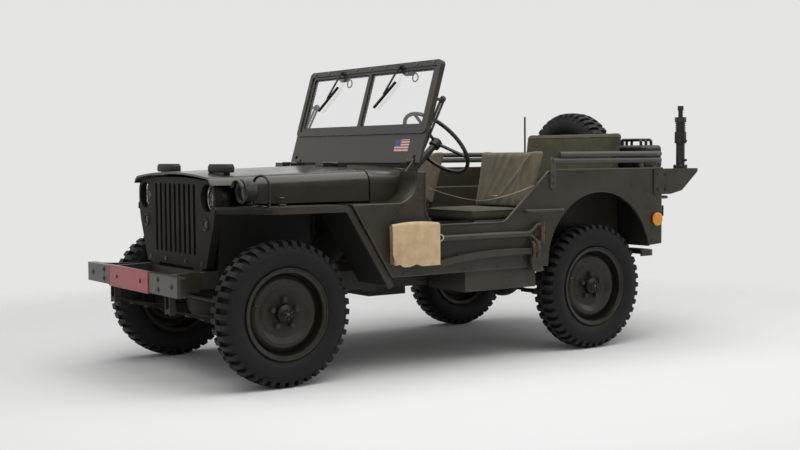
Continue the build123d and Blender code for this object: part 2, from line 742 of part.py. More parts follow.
with BuildPart() as windshield_glass:
    with BuildSketch(shield_plane.offset(-3)):
        with Locations(
            ((glass_in + glass_out) / 2, (glass_low + glass_high) / 2),
            (-(glass_in + glass_out) / 2, (glass_low + glass_high) / 2),
        ):
            RectangleRounded(glass_out - glass_in - 0.6, glass_high - glass_low - 0.6, 11.7)
    extrude(amount=6)
save(windshield_glass, "windshield_glass")

# Wipers: spindle on the top rail, bent arm and blade, one for each pane
wiper_y = 297
with BuildPart() as wipers:
    for y in (wiper_y, -wiper_y):
        with BuildSketch(shield_plane.offset(15)):
            with Locations((y, 530)):
                Circle(14)
        extrude(amount=16)
        with BuildSketch(shield_plane.offset(22)):
            with BuildLine():
                Polyline((y - 5, 532), (y + 5, 526), (y - 88, 372), (y - 98, 378), close=True)
            make_face()
        extrude(amount=6)
        with BuildSketch(shield_plane.offset(10)):
            with Locations((y - 93, 375)):
                Rectangle(10, 210, rotation=-48)
        extrude(amount=13)
save(wipers, "wipers")

# Steering column down to the gear on the left rail, and the wheel on top of it
with BuildPart() as steering_column:
    with BuildSketch(column_plane.offset(24)):
        Circle(19)
    extrude(amount=950)
    block(700, 785, rail_y + rail_half, 420, 455, 560)
save(steering_column, "steering_column")

with BuildPart() as steering_wheel:
    with Locations(column_plane.location):
        Torus(helm_radius, 11)
    with BuildSketch(column_plane.offset(-14)):
        Circle(32)
    extrude(amount=37.5)
    with BuildSketch(column_plane.offset(-5)):
        with PolarLocations(0, 3, start_angle=90):
            with Locations((helm_radius / 2, 0)):
                Rectangle(helm_radius, 18)
    extrude(amount=10)
save(steering_wheel, "steering_wheel")

# Levers and pedals on the floor ahead of the seats
levers = ((330, 0, 60, 20, 905), (300, -90, 250, -95, 760), (270, -120, 215, -125, 740))
pedals = (215, 285, 455)
with BuildPart() as control_levers:
    block(250, 360, -150, 40, floor_z + 15, floor_z + 35)
    for x0, y0, x1, y1, z1 in levers:
        rod((x0, y0, floor_z + 25), (x1 + 90, y1, z1 - 20), 9)
        with Locations((x1 + 90, y1, z1)):
            Sphere(24)
save(control_levers, "control_levers")

with BuildPart() as pedals_set:
    for y in pedals:
        with BuildSketch(side_plane(y + 30)):
            with BuildLine():
                Polyline((545, 658.2), (565, 678.3), (492, 742), (478, 760), (466, 750), (480, 730), close=True)
            make_face()
        extrude(amount=60)
save(pedals_set, "pedals")

# Front and rear seats: bent tube frames with cushions and backs laid on them
seat_sides = ((1, tank_top_z), (-1, floor_z + 15))
seat_low = 770
seat_y = inner_half - 277
leg_in = seat_y - 195
leg_out = seat_y + 195
with BuildPart() as seat_frames:
    for side, foot in seat_sides:
        for y, foot_z in ((leg_in, floor_z + 15), (leg_out, foot)):
            tube(((-10, side * y, foot_z), (-10, side * y, seat_low - 12), (-390, side * y, seat_low - 12)), 12, 40)
            rod((-380, side * y, foot_z), (-380, side * y, seat_low - 12), 12)
        tube(
            ((-373.1, side * leg_in, seat_low - 12), (-472.3, side * leg_in, 1110),
             (-472.3, side * leg_out, 1110), (-373.1, side * leg_out, seat_low - 12)), 12, 50,
        )
    for y in (-380, 380):
        tube(((-960, y, rear_floor_z + 15), (-960, y, 838), (-1350, y, 838)), 12, 40)
        rod((-1352, y, rear_floor_z + 15), (-1352, y, 1190), 12)
save(seat_frames, "seat_frames")

with BuildPart() as seat_cushions:
    for y in (seat_y, -seat_y):
        block(-355, 0, y - 215, y + 215, seat_low + seat_gap, 838)
    block(-1235, -940, -430, 430, 850 + seat_gap, 925)
    fillet(seat_cushions.edges(), 20)
save(seat_cushions, "seat_cushions")

with BuildPart() as seat_backs:
    for y in (seat_y, -seat_y):
        with BuildSketch(side_plane(y + 225)):
            with BuildLine():
                Polyline((-352, 842), (-384, 842), (-468, 1140), (-400, 1140), close=True)
            make_face()
        extrude(amount=450)
    block(-1339.5, -1262, -390, 390, 930, 1240)
    fillet(seat_backs.edges(), 12)
save(seat_backs, "seat_backs")

# Folded top bows: two bent tubes round the tail, with their pivot straps and rests
bow_radius = 16
bow_x = -1407
bow_y = body_half - 3
bow_runs = ((-505, 1085), (-560, 1120))
with BuildPart() as top_bows:
    for x, z in bow_runs:
        tube(((x, bow_y, z), (bow_x, bow_y, z), (bow_x, -bow_y, z), (x, -bow_y, z)), bow_radius, 90)
    for side in (1, -1):
        with BuildSketch(side_plane(side * (body_half + 4) + 4)):
            with Locations((bow_runs[0][0], (951 + bow_runs[0][1]) / 2)):
                SlotCenterToCenter(bow_runs[0][1] - 951, 40, rotation=90)
        extrude(amount=8)
    for y0, y1 in ((bow_y - 13, bow_y + 1), (-bow_y - 1, 13 - bow_y)):
        block(-580, -545, y0, y1, 1080, 1125)
        block(-1222, -1198, y0, y1, body_top_z, 1118)
save(top_bows, "top_bows")

# Grab handles on the quarters and on the tail
grip_y = body_half + 35
tail_grip_y = body_half - 112
with BuildPart() as grab_handles:
    tube(((-300, body_half, 815), (-300, grip_y, 815), (-561, grip_y, 815), (-561, body_half, 815)), 9, 22)
    tube(
        ((tail_x, tail_grip_y, 860), (tail_x - 83, tail_grip_y, 860), (tail_x - 83, tail_grip_y + 80, 860),
         (tail_x, tail_grip_y + 80, 860)), 9, 30,
    )
    mirror(about=Plane.XZ)
save(grab_handles, "grab_handles")

# Shovel and axe strapped to the left side
tool_y = body_half + 22
blade_y = body_half + 12
shaft_z_left = 692
fork_half = 49
grip_x = -412
with BuildPart() as shovel:
    rod((-318, tool_y, shaft_z_left), (288, tool_y, shaft_z_left), 17)
    for side in (1, -1):
        tube(
            ((-300, tool_y, shaft_z_left + side * 8), (-335, tool_y, shaft_z_left + side * 12),
             (-378, tool_y, shaft_z_left + side * fork_half), (grip_x - 12, tool_y, shaft_z_left + side * fork_half)), 9, 24,
        )
    rod((grip_x, tool_y, shaft_z_left - fork_half - 11), (grip_x, tool_y, shaft_z_left + fork_half + 11), 13)
    with BuildSketch(side_plane(blade_y)):
        with BuildLine():
            Polyline((250, 680), (320, 675), (345, 592), (560, 592))
            ThreePointArc((560, 592), (600, 692), (560, 790))
            Polyline((560, 790), (345, 790), (320, 709), (250, 704), (250, 680))
        make_face()
    extrude(amount=8)
    for x in (-180, 180):
        block(x - 12, x + 12, body_half, tool_y, 680, 704)
save(shovel, "shovel")

with BuildPart() as axe:
    with BuildSketch(side_plane(tool_y + 10)):
        with BuildLine():
            ThreePointArc((288, 548), (-10, 578), (-330, 580))
            Line((-330, 580), (-330, 612))
            ThreePointArc((-330, 612), (-10, 614), (288, 580))
            ThreePointArc((288, 580), (298, 564), (288, 548))
        make_face()
        with BuildLine():
            Line((-325, 620), (-325, 560))
            ThreePointArc((-325, 560), (-329, 522), (-340, 488))
            ThreePointArc((-340, 488), (-378, 480), (-416, 488))
            ThreePointArc((-416, 488), (-400, 522), (-395, 560))
            Polyline((-395, 560), (-395, 620), (-325, 620))
        make_face()
    extrude(amount=24)
    for x in (-160, 160):
        block(x - 12, x + 12, body_half, tool_y, 580, 604)
save(axe, "axe")

with BuildPart() as canvas_bag:
    block(298, 594, blade_y + seat_gap, blade_y + 48, 556, 791)
    fillet(canvas_bag.edges(), 18)
save(canvas_bag, "canvas_bag")

# Spare wheel carrier and the can with its carrier, on the tail panel
with BuildPart() as spare_carrier:
    block(tail_x - 10, tail_x, -305, -65, 780, 1010)
    block(-1510, tail_x - 9, -225, -145, 985, 1040)
    with BuildSketch(Plane.YZ.offset(-1520)):
        with Locations((-185, 1030)):
            Circle(72)
    extrude(amount=10)
save(spare_carrier, "spare_carrier")

can_y = (body_half - 550, body_half - 205)
can_z = (745, 1215)
can_x = (-1597, -1432)
with BuildPart() as jerrycan_carrier:
    with BuildSketch(side_plane(can_y[1] + 4)):
        with BuildLine():
            Polyline(
                (tail_x, 990), (tail_x - 10, 990), (tail_x - 10, can_z[0]), (can_x[0] - 1, can_z[0]),
                (can_x[0] - 1, 800), (can_x[0] - 7, 800), (can_x[0] - 7, can_z[0] - 10), (tail_x, can_z[0] - 10),
                close=True,
            )
        make_face()
    extrude(amount=can_y[1] - can_y[0] + 8)
save(jerrycan_carrier, "jerrycan_carrier")

can_top_z = can_z[1] - 42
can_middle_x = (can_x[0] + can_x[1]) / 2
can_middle = ((can_y[0] + can_y[1]) / 2, (can_z[0] + can_top_z) / 2)
press_size = (can_y[1] - can_y[0] - 90, can_top_z - can_z[0] - 110)
press_depth = 6
press_angle = degrees(atan2(press_size[1], press_size[0]))
with BuildPart() as jerrycan:
    block(*can_x, *can_y, can_z[0], can_top_z)
    fillet(jerrycan.edges(), 22)
    for face_x, inward in ((can_x[0], 1), (can_x[1], -1)):
        with BuildSketch(Plane.YZ.offset(face_x)):
            with Locations(can_middle):
                RectangleRounded(*press_size, 30)
                Rectangle(700, 34, rotation=press_angle, mode=Mode.SUBTRACT)
                Rectangle(700, 34, rotation=-press_angle, mode=Mode.SUBTRACT)
                Circle(42, mode=Mode.SUBTRACT)
        extrude(amount=inward * press_depth, mode=Mode.SUBTRACT)
    for x in (can_x[0] + 38, can_middle_x, can_x[1] - 38):
        tube(
            ((x, can_y[0] + 120, can_top_z - 5), (x, can_y[0] + 120, can_z[1] - 9), (x, can_y[1] - 60, can_z[1] - 9),
             (x, can_y[1] - 60, can_top_z - 5)), 9, 16,
        )
    rod((can_middle_x, can_y[0] + 55, can_top_z - 4), (can_middle_x, can_y[0] + 55, can_top_z + 24), 32)
save(jerrycan, "jerrycan")

# Tail lamps and round reflectors
with BuildPart() as rear_lamps:
    rod((tail_x, body_half - 95, 700), (tail_x - 42, body_half - 95, 700), 36)
    rod((-1325, body_half, 734), (-1325, body_half + 12, 734), 36)
    mirror(about=Plane.XZ)
save(rear_lamps, "rear_lamps")

# Corner bracket with the mast base, and the thin rod aerial on the right
mast_y = body_half - 40
mast_top_z = 1407
mast_bore = 8
tip_x = rear_axle_x - rear_overhang
mast_x = tip_x + 100
with BuildPart() as antenna_bracket:
    with BuildSketch(side_plane(body_half + 8)):
        with BuildLine():
            Polyline(
                (-1300, 1031), (tip_x, 1031), (tip_x, 1012), (-1538, 900), (-1440, 880), (-1300, 880), close=True
            )
        make_face()
    extrude(amount=8)
    block(tip_x, -1440, mast_y - 45, body_half + 8, 1023, 1031)
save(antenna_bracket, "antenna_bracket")

foot_z = 1031
mast_steps = ((1031, 1048, 42), (1048, 1182, 26), (1182, 1250, 35), (1250, 1308, 26), (1308, 1339, 34), (1339, 1380, 14),
              (1380, mast_top_z, 18))
rib_count = 5
rib_pitch = 11.6
with BuildPart() as mast_base:
    for z0, z1, radius in mast_steps:
        rod((mast_x, mast_y, z0), (mast_x, mast_y, z1), radius)
    for step in range(rib_count):
        rib_z = 1252 + rib_pitch * step
        rod((mast_x, mast_y, rib_z), (mast_x, mast_y, rib_z + 6), 31)
    for z in (1080, 1195):
        rod((mast_x, mast_y - 20, z), (mast_x, mast_y + 46, z), 8)
    rod((mast_x, mast_y, mast_top_z - 40), (mast_x, mast_y, mast_top_z + 1), mast_bore, mode=Mode.SUBTRACT)
save(mast_base, "mast_base")

with BuildPart() as rod_aerial:
    rod((-1355, -480, 800), (-1355, -480, 1372), 6)
    block(tail_x + wall, -1350, -490, -470, 940, 970)
save(rod_aerial, "rod_aerial")

# Safety strap across the left door opening: a shallow hanging band
strap_width = wall
with BuildPart() as safety_strap:
    with BuildSketch(side_plane(body_half)):
        with BuildLine():
            low = ThreePointArc((door_x, 962), (-10, 905), (-391.6, 955))
            high = ThreePointArc((door_x, 965), (-10, 908), (-395.1, 958))
            Line(low @ 0, high @ 0)
            Line(low @ 1, high @ 1)
        make_face()
    extrude(amount=strap_width)
save(safety_strap, "safety_strap")
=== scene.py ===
import math

import bmesh
import bpy
from mathutils import Matrix, Vector


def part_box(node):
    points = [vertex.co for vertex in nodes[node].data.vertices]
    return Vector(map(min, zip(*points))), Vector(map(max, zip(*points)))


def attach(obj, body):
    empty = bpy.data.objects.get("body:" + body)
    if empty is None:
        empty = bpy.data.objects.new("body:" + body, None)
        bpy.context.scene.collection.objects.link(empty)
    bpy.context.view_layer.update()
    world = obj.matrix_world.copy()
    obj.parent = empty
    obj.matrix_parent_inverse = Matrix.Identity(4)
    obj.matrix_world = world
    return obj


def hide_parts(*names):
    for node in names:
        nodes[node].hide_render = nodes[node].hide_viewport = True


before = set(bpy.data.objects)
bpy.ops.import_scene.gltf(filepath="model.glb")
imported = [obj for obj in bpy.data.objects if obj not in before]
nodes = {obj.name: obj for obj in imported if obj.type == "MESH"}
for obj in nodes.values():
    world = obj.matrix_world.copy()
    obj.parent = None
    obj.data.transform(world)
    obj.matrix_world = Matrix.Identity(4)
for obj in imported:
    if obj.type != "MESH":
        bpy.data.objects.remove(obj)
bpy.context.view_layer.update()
scene = bpy.context.scene
scene.view_settings.view_transform = "Standard"


# Studio: a pale floor that fades into a pale room, a wide soft lamp overhead and two weaker ones at the
# corners. The camera stands off the left front corner, a little above the hood, as in the photo.
def add(tree, kind, props=None, **inputs):
    """Place one shader node; inputs are values, or sockets to link from."""
    made = tree.nodes.new("ShaderNode" + kind)
    for name, value in (props or {}).items():
        setattr(made, name, value)
    for name, value in inputs.items():
        numbered = name[0] == "i" and name[1:].isdigit()
        socket = made.inputs[int(name[1:]) if numbered else name.replace("_", " ")]
        if isinstance(value, bpy.types.NodeSocket):
            tree.links.new(value, socket)
        else:
            socket.default_value = value
    return made


def calc(tree, operation, a, b=0.0, clamp=False):
    """One Math node's result."""
    return add(tree, "Math", {"operation": operation, "use_clamp": clamp}, i0=a, i1=b).outputs[0]


def mix(tree, factor, a, b, blend="MIX"):
    """One colour mixed into another."""
    made = add(tree, "Mix", {"data_type": "RGBA", "blend_type": blend}, i0=factor, i6=a, i7=b)
    return made.outputs[2]


def blank(name):
    """A new material with an empty tree and its output."""
    material = bpy.data.materials.new(name)
    material.use_nodes = True
    tree = material.node_tree
    tree.nodes.clear()
    return material, tree, tree.nodes.new("ShaderNodeOutputMaterial")


def placed(name, data):
    """A new object in the scene."""
    made = bpy.data.objects.new(name, data)
    scene.collection.objects.link(made)
    return made


def here(tree):
    """The surface's own Object coordinates."""
    return add(tree, "TexCoord").outputs["Object"]


def ramp(tree, value, low, high, bottom=0.0, top=1.0, profile="LINEAR"):
    """A value taken from one range to another and held at the ends."""
    made = add(tree, "MapRange", {"interpolation_type": profile}, Value=value, From_Min=low, From_Max=high,
               To_Min=bottom, To_Max=top)
    return made.outputs[0]


room_tone = (0.78, 0.78, 0.775, 1)
room_light = 0.30
floor_tone = (0.88, 0.88, 0.875, 1)
floor_radius = 40.0
floor_fade = (2.2, 4.7)
far_wall = (-0.572, -0.820, 0.0)
near_glow, far_glow, top_glow = 0.18, 0.78, 0.70
world = bpy.data.worlds.new("room")
scene.world = world
world.use_nodes = True
tree = world.node_tree
tree.nodes.clear()
rays = add(tree, "LightPath")
seen = calc(tree, "MAXIMUM", rays.outputs["Is Camera Ray"], rays.outputs["Is Transmission Ray"])
way = add(tree, "TexCoord").outputs["Generated"]
beyond = add(tree, "VectorMath", {"operation": "DOT_PRODUCT"}, i0=way, i1=far_wall).outputs["Value"]
rise = add(tree, "SeparateXYZ", Vector=way).outputs["Z"]
wall_glow = ramp(tree, beyond, -0.35, 0.30, near_glow, far_glow)
roof_glow = ramp(tree, rise, 0.35, 0.90, 0.0, top_glow)
lit = add(tree, "Background", Color=(1, 1, 1, 1), Strength=room_light)
brighter = calc(tree, "MAXIMUM", wall_glow, roof_glow)
mirrored = add(tree, "Background", Color=(1, 1, 1, 1), Strength=brighter)
shown = add(tree, "Background", Color=room_tone, Strength=1.0)
both = add(tree, "MixShader", i0=rays.outputs["Is Glossy Ray"], i1=lit.outputs[0], i2=mirrored.outputs[0])
both = add(tree, "MixShader", i0=seen, i1=both.outputs[0], i2=shown.outputs[0])
add(tree, "OutputWorld", Surface=both.outputs[0])

shape = bmesh.new()
bmesh.ops.create_circle(shape, cap_ends=True, segments=96, radius=floor_radius)
mesh = bpy.data.meshes.new("floor_sheet")
shape.to_mesh(mesh)
shape.free()
studio_floor = placed("studio_floor", mesh)
material, tree, out = blank("studio_floor")
far = add(tree, "VectorMath", {"operation": "LENGTH"}, i0=here(tree)).outputs["Value"]
fade = ramp(tree, far, *floor_fade, profile="SMOOTHSTEP")
pale = add(tree, "BsdfDiffuse", Color=floor_tone)
clear = add(tree, "BsdfTransparent")
both = add(tree, "MixShader", i0=fade, i1=pale.outputs[0], i2=clear.outputs[0])
tree.links.new(both.outputs[0], out.inputs["Surface"])
mesh.materials.append(material)

lamps = (
    ("overhead", (0.3, 0.9, 5.2), (0.0, 0.0, 0.6), 6.5, 262),
    ("front_left", (4.6, 4.6, 3.2), (0.3, 0.0, 0.6), 3.5, 34),
    ("tail", (-5.0, 2.5, 3.4), (-0.3, 0.0, 0.7), 3.0, 50),
)
for name, spot, aim, width, watts in lamps:
    lamp = bpy.data.lights.new(name, "AREA")
    lamp.size = width
    lamp.energy = watts
    holder = placed(name, lamp)
    holder.location = spot
    holder.rotation_euler = (Vector(aim) - Vector(spot)).to_track_quat("-Z", "Y").to_euler()

camera_spot = (4.0732, 5.8298, 1.1291)
azimuth, elevation, roll = (math.radians(a) for a in (-124.874, -3.302, -0.451))
level = math.cos(elevation)
ahead = Vector((level * math.cos(azimuth), level * math.sin(azimuth), math.sin(elevation)))
right = ahead.cross(Vector((0, 0, 1))).normalized()
above = right.cross(ahead)
turned_right = math.cos(roll) * right + math.sin(roll) * above
turned_above = math.cos(roll) * above - math.sin(roll) * right
camera = placed("camera", bpy.data.cameras.new("camera"))
camera.data.sensor_width = 36.0
camera.data.lens = 55.195
turned = Matrix((turned_right, turned_above, -ahead)).transposed().to_4x4()
camera.matrix_world = Matrix.Translation(camera_spot) @ turned
scene.camera = camera


# Frame and running gear: pressed rails and floor in dull olive, with cast axle housings, springs, shafts and
# the exhaust below. The iron is black with old oil and road dirt, and bare metal shows at the corners.
def group(name, inputs, outputs):
    """A shader node group with named float inputs and outputs, and its two ends."""
    made = bpy.data.node_groups.new(name, "ShaderNodeTree")
    for label, value in inputs:
        made.interface.new_socket(label, in_out="INPUT", socket_type="NodeSocketFloat").default_value = value
    for label in outputs:
        made.interface.new_socket(label, in_out="OUTPUT", socket_type="NodeSocketFloat")
    return made, made.nodes.new("NodeGroupInput"), made.nodes.new("NodeGroupOutput")


wear_and_shade_group, start, end = group("wear_and_shade", (("Width", 0.004), ("Scale", 9.0)),
                               ("Edge", "Blotch", "Grain", "Grime_and_shade"))
place = here(wear_and_shade_group)
blotch = add(wear_and_shade_group, "TexNoise", Vector=place, Scale=start.outputs["Scale"], Detail=5.0,
             Roughness=0.62).outputs["Fac"]
grain = add(wear_and_shade_group, "TexNoise", Vector=place, Scale=420.0, Detail=3.0).outputs["Fac"]
chips = add(wear_and_shade_group, "TexNoise", Vector=place, Scale=55.0, Detail=6.0, Roughness=0.7).outputs["Fac"]
soft = add(wear_and_shade_group, "Bevel", {"samples": 4}, Radius=start.outputs["Width"]).outputs[0]
hard = add(wear_and_shade_group, "NewGeometry").outputs["Normal"]
turn = add(wear_and_shade_group, "VectorMath", {"operation": "DOT_PRODUCT"}, i0=soft, i1=hard).outputs["Value"]
rim = ramp(wear_and_shade_group, turn, 0.985, 0.80)
break_up = ramp(wear_and_shade_group, chips, 0.42, 0.66)
# Corners hemmed in by the part itself within 6 cm darken: painted shade, broken up by the blotches like
# grime.
corner = add(wear_and_shade_group, "AmbientOcclusion", {"samples": 4, "only_local": True}, Distance=0.06).outputs["AO"]
hollow = ramp(wear_and_shade_group, corner, 0.9, 0.35)
wear_results = {
    "Edge": calc(wear_and_shade_group, "MULTIPLY", rim, break_up, True),
    "Blotch": blotch,
    "Grain": grain,
    "Grime_and_shade": calc(wear_and_shade_group, "MULTIPLY", hollow, calc(wear_and_shade_group, "ADD", blotch, 0.3), True),
}
for label, value in wear_results.items():
    wear_and_shade_group.links.new(value, end.inputs[label])

dust_group, start, end = group("dust", (("Amount", 0.5), ("Scale", 5.0)), ("Mask",))
cloud = add(dust_group, "TexNoise", Vector=here(dust_group), Scale=start.outputs["Scale"], Detail=7.0,
            Roughness=0.65).outputs["Fac"]
lie = add(dust_group, "SeparateXYZ", Vector=add(dust_group, "NewGeometry").outputs["Normal"]).outputs["Z"]
flat = ramp(dust_group, lie, -0.2, 1.0, 0.15)
patch = ramp(dust_group, cloud, 0.35, 0.75)
mask = calc(dust_group, "MULTIPLY", flat, patch, True)
dust_group.links.new(calc(dust_group, "MULTIPLY", mask, start.outputs["Amount"], True), end.inputs["Mask"])

dust_tone = (0.17, 0.155, 0.125, 1)
# Near black laid into the corners: painted shade mixed with grime.
grime_and_shade_tone = (0.008, 0.0075, 0.006, 1)


def place_group(tree, made, **inputs):
    """A shared group placed in one material."""
    holder = add(tree, "Group", {"node_tree": made})
    for name, value in inputs.items():
        holder.inputs[name].default_value = value
    return holder.outputs


def between(tree, value, low, high):
    """Mask of the values between two limits."""
    above_low = calc(tree, "GREATER_THAN", value, low)
    return calc(tree, "MULTIPLY", above_low, calc(tree, "LESS_THAN", value, high))


def inside(tree, **limits):
    """Mask of the surface within limits on Object coordinates, such as X=(0.1, 0.2)."""
    spot = add(tree, "SeparateXYZ", Vector=here(tree)).outputs
    mask = 1.0
    for axis, (low, high) in limits.items():
        mask = calc(tree, "MULTIPLY", mask, between(tree, spot[axis], low, high))
    return mask


def shade_of(tone, factor):
    """A colour made darker or lighter by a factor."""
    return tuple(c * factor for c in tone[:3]) + (1,)


def lay_over(tree, base, mask, share, tone):
    """A tone laid over a colour by a share of a mask."""
    return mix(tree, calc(tree, "MULTIPLY", mask, share), base, tone)


def surface(tree, out, **inputs):
    """Close a material with one Principled shader."""
    skin = add(tree, "BsdfPrincipled", **inputs)
    tree.links.new(skin.outputs[0], out.inputs["Surface"])


def worn_and_shaded_finish(name, tone, edge_tone, roughness, scale=6.0, width=0.004, dust=0.4, bump=0.12, metallic=0.0,
                edge=0.7, patches=(), relief=None, specular=0.5):
    """Hard finish with blotches, lighter rubbed edges (with the olive edge tone also a painted edge
    highlight), painted shade mixed with grime in the corners, and dust on top.

    patches are (limits, tone, roughness) for places in another finish, and for painted shade in the wheel
    arches; relief adds a height to the grain.
    """
    material, tree, out = blank(name)
    wear_and_shade = place_group(tree, wear_and_shade_group, Width=width, Scale=scale)
    dust_mask = place_group(tree, dust_group, Amount=dust, Scale=scale)["Mask"]
    base = mix(tree, wear_and_shade["Blotch"], shade_of(tone, 0.76), shade_of(tone, 1.24))
    # Painted shade mixed with grime in the corners.
    base = lay_over(tree, base, wear_and_shade["Grime_and_shade"], 0.75, grime_and_shade_tone)
    base = mix(tree, dust_mask, base, dust_tone)
    # Lighter edges: rubbed paint; with the olive edge tone they are also a painted edge highlight.
    base = lay_over(tree, base, wear_and_shade["Edge"], edge, edge_tone)
    rough = ramp(tree, wear_and_shade["Blotch"], 0.3, 0.7, roughness - 0.06, roughness + 0.07)
    rough = calc(tree, "ADD", rough, calc(tree, "MULTIPLY", dust_mask, 0.35), True)
    for limits, other_tone, other_rough in patches:
        mask = inside(tree, **limits)
        shade = mix(tree, wear_and_shade["Blotch"], shade_of(other_tone, 0.7), shade_of(other_tone, 1.3))
        base = mix(tree, mask, base, shade)
        kept = calc(tree, "MULTIPLY", rough, calc(tree, "SUBTRACT", 1.0, mask))
        rough = calc(tree, "ADD", kept, calc(tree, "MULTIPLY", mask, other_rough), True)
    height = wear_and_shade["Grain"]
    if relief:
        height = calc(tree, "ADD", calc(tree, "MULTIPLY", height, 0.25), relief(tree))
    raised = add(tree, "Bump", Strength=bump, Distance=0.003 if relief else 0.0006, Height=height)
    surface(tree, out, Base_Color=base, Roughness=rough, Metallic=metallic, Normal=raised.outputs[0],
            Specular_IOR_Level=specular)
    return material


def coat(material, *names):
    """Give CAD nodes their finish."""
    for name in names:
        nodes[name].data.materials.clear()
        nodes[name].data.materials.append(material)


olive_low = worn_and_shaded_finish("olive_underside", (0.017, 0.016, 0.013), (0.07, 0.064, 0.053, 1), 0.58, dust=0.4)
coat(olive_low, "frame", "floor")
iron = worn_and_shaded_finish("oily_iron", (0.018, 0.0165, 0.015), (0.11, 0.10, 0.09, 1), 0.55, dust=0.6, metallic=0.3,
                   bump=0.4)
coat(iron, "power_unit", "front_axle", "rear_axle", "knuckle_left", "knuckle_right", "leaf_springs",
     "propeller_shafts", "exhaust", "tie_rod")


# Road wheels: pressed steel discs on the drums, each held by five hexagon nuts, with a bolted hub flange, a
# cap and a valve. The spare on the tail is the same wheel, held by three nuts on its carrier.
def fastener_tree():
    """Geometry Nodes tree: a washer and a head on every point, standing along the point's own direction."""
    tree = bpy.data.node_groups.new("fasteners", "GeometryNodeTree")
    kinds = {"Geometry": "Geometry", "Head Radius": "Float", "Head Height": "Float", "Sides": "Int",
             "Washer Radius": "Float", "Taper": "Float", "Finish": "Material"}
    sockets = {label: tree.interface.new_socket(label, in_out="INPUT", socket_type="NodeSocket" + kind)
               for label, kind in kinds.items()}
    tree.interface.new_socket("Geometry", in_out="OUTPUT", socket_type="NodeSocketGeometry")
    given = tree.nodes.new("NodeGroupInput").outputs
    made = tree.nodes.new("NodeGroupOutput")

    def put(kind, **links):
        node = tree.nodes.new(kind)
        for name, value in links.items():
            socket = node.inputs[name.replace("_", " ")]
            if isinstance(value, bpy.types.NodeSocket):
                tree.links.new(value, socket)
            else:
                socket.default_value = value
        return node

    top = put("ShaderNodeMath")
    top.operation = "MULTIPLY"
    tree.links.new(given["Head Radius"], top.inputs[0])
    tree.links.new(given["Taper"], top.inputs[1])
    head = put("GeometryNodeMeshCone", Vertices=given["Sides"], Radius_Top=top.outputs[0],
               Radius_Bottom=given["Head Radius"], Depth=given["Head Height"])
    washer = put("GeometryNodeMeshCone", Vertices=16, Radius_Top=given["Washer Radius"],
                 Radius_Bottom=given["Washer Radius"], Depth=0.0022)
    joined = put("GeometryNodeJoinGeometry")
    tree.links.new(head.outputs["Mesh"], joined.inputs[0])
    tree.links.new(washer.outputs["Mesh"], joined.inputs[0])
    points = put("GeometryNodeMeshToPoints", Mesh=given["Geometry"])
    way = put("GeometryNodeInputNamedAttribute", Name="way")
    way.data_type = "FLOAT_VECTOR"
    aim = put("FunctionNodeAlignRotationToVector", Vector=way.outputs["Attribute"])
    aim.axis = "Z"
    copies = put("GeometryNodeInstanceOnPoints", Points=points.outputs[0], Instance=joined.outputs[0],
                 Rotation=aim.outputs[0])
    real = put("GeometryNodeRealizeInstances", Geometry=copies.outputs[0])
    painted = put("GeometryNodeSetMaterial", Geometry=real.outputs[0], Material=given["Finish"])
    tree.links.new(painted.outputs[0], made.inputs[0])
    return tree, {label: socket.identifier for label, socket in sockets.items()}


fasteners, fastener_inputs = fastener_tree()


def settle(piece, body, slot, *replaced):
    """Let a finished piece ride on its body, in place of the solids it stands for; the slot is not used."""
    if replaced:
        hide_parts(*replaced)
    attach(piece, body)
    return piece


def plain(name, source):
    """An object's evaluated shape as a plain mesh object; the source is removed."""
    bpy.context.view_layer.update()
    mesh = bpy.data.meshes.new_from_object(source.evaluated_get(bpy.context.evaluated_depsgraph_get()))
    bpy.data.objects.remove(source)
    return placed(name, mesh)


def bolts(name, places, body, finish, slot, radius=0.009, height=0.007, sides=6, washer=0.013, taper=1.0):
    """Bolt heads, nuts or rivets at places, each (spot, direction out of the surface)."""
    mesh = bpy.data.meshes.new(name + "_spots")
    mesh.from_pydata([spot for spot, way in places], [], [])
    ways = mesh.attributes.new("way", "FLOAT_VECTOR", "POINT")
    for index, (spot, way) in enumerate(places):
        ways.data[index].vector = way
    seed = placed(name + "_spots", mesh)
    change = seed.modifiers.new("heads", "NODES")
    change.node_group = fasteners
    settings = {"Head Radius": radius, "Head Height": height, "Sides": sides, "Washer Radius": washer,
                "Taper": taper, "Finish": finish}
    for label, value in settings.items():
        change[fastener_inputs[label]] = value
    return settle(plain(name, seed), body, slot)


def finished(name, shape, finish, body, slot, *replaced, smooth=True):
    """A bmesh as a finished piece of the object."""
    bmesh.ops.remove_doubles(shape, verts=shape.verts, dist=1e-6)
    bmesh.ops.recalc_face_normals(shape, faces=shape.faces)
    mesh = bpy.data.meshes.new(name)
    shape.to_mesh(mesh)
    shape.free()
    mesh.materials.append(finish)
    if smooth:
        mesh.shade_smooth()
    return settle(placed(name, mesh), body, slot, *replaced)


def lathe(shape, outline, spot, axis, steps=32):
    """Turn an outline of (along the axis, radius) about an axis through a spot."""
    turned = Vector(axis).to_track_quat("Z", "Y").to_matrix()
    rings = []
    for step in range(steps):
        angle = 2 * math.pi * step / steps
        points = [(r * math.cos(angle), r * math.sin(angle), along) for along, r in outline]
        rings.append([shape.verts.new(Vector(spot) + turned @ Vector(point)) for point in points])
    for ring, after in zip(rings, rings[1:] + rings[:1]):
        for low in range(len(outline) - 1):
            shape.faces.new([ring[low], after[low], after[low + 1], ring[low + 1]])


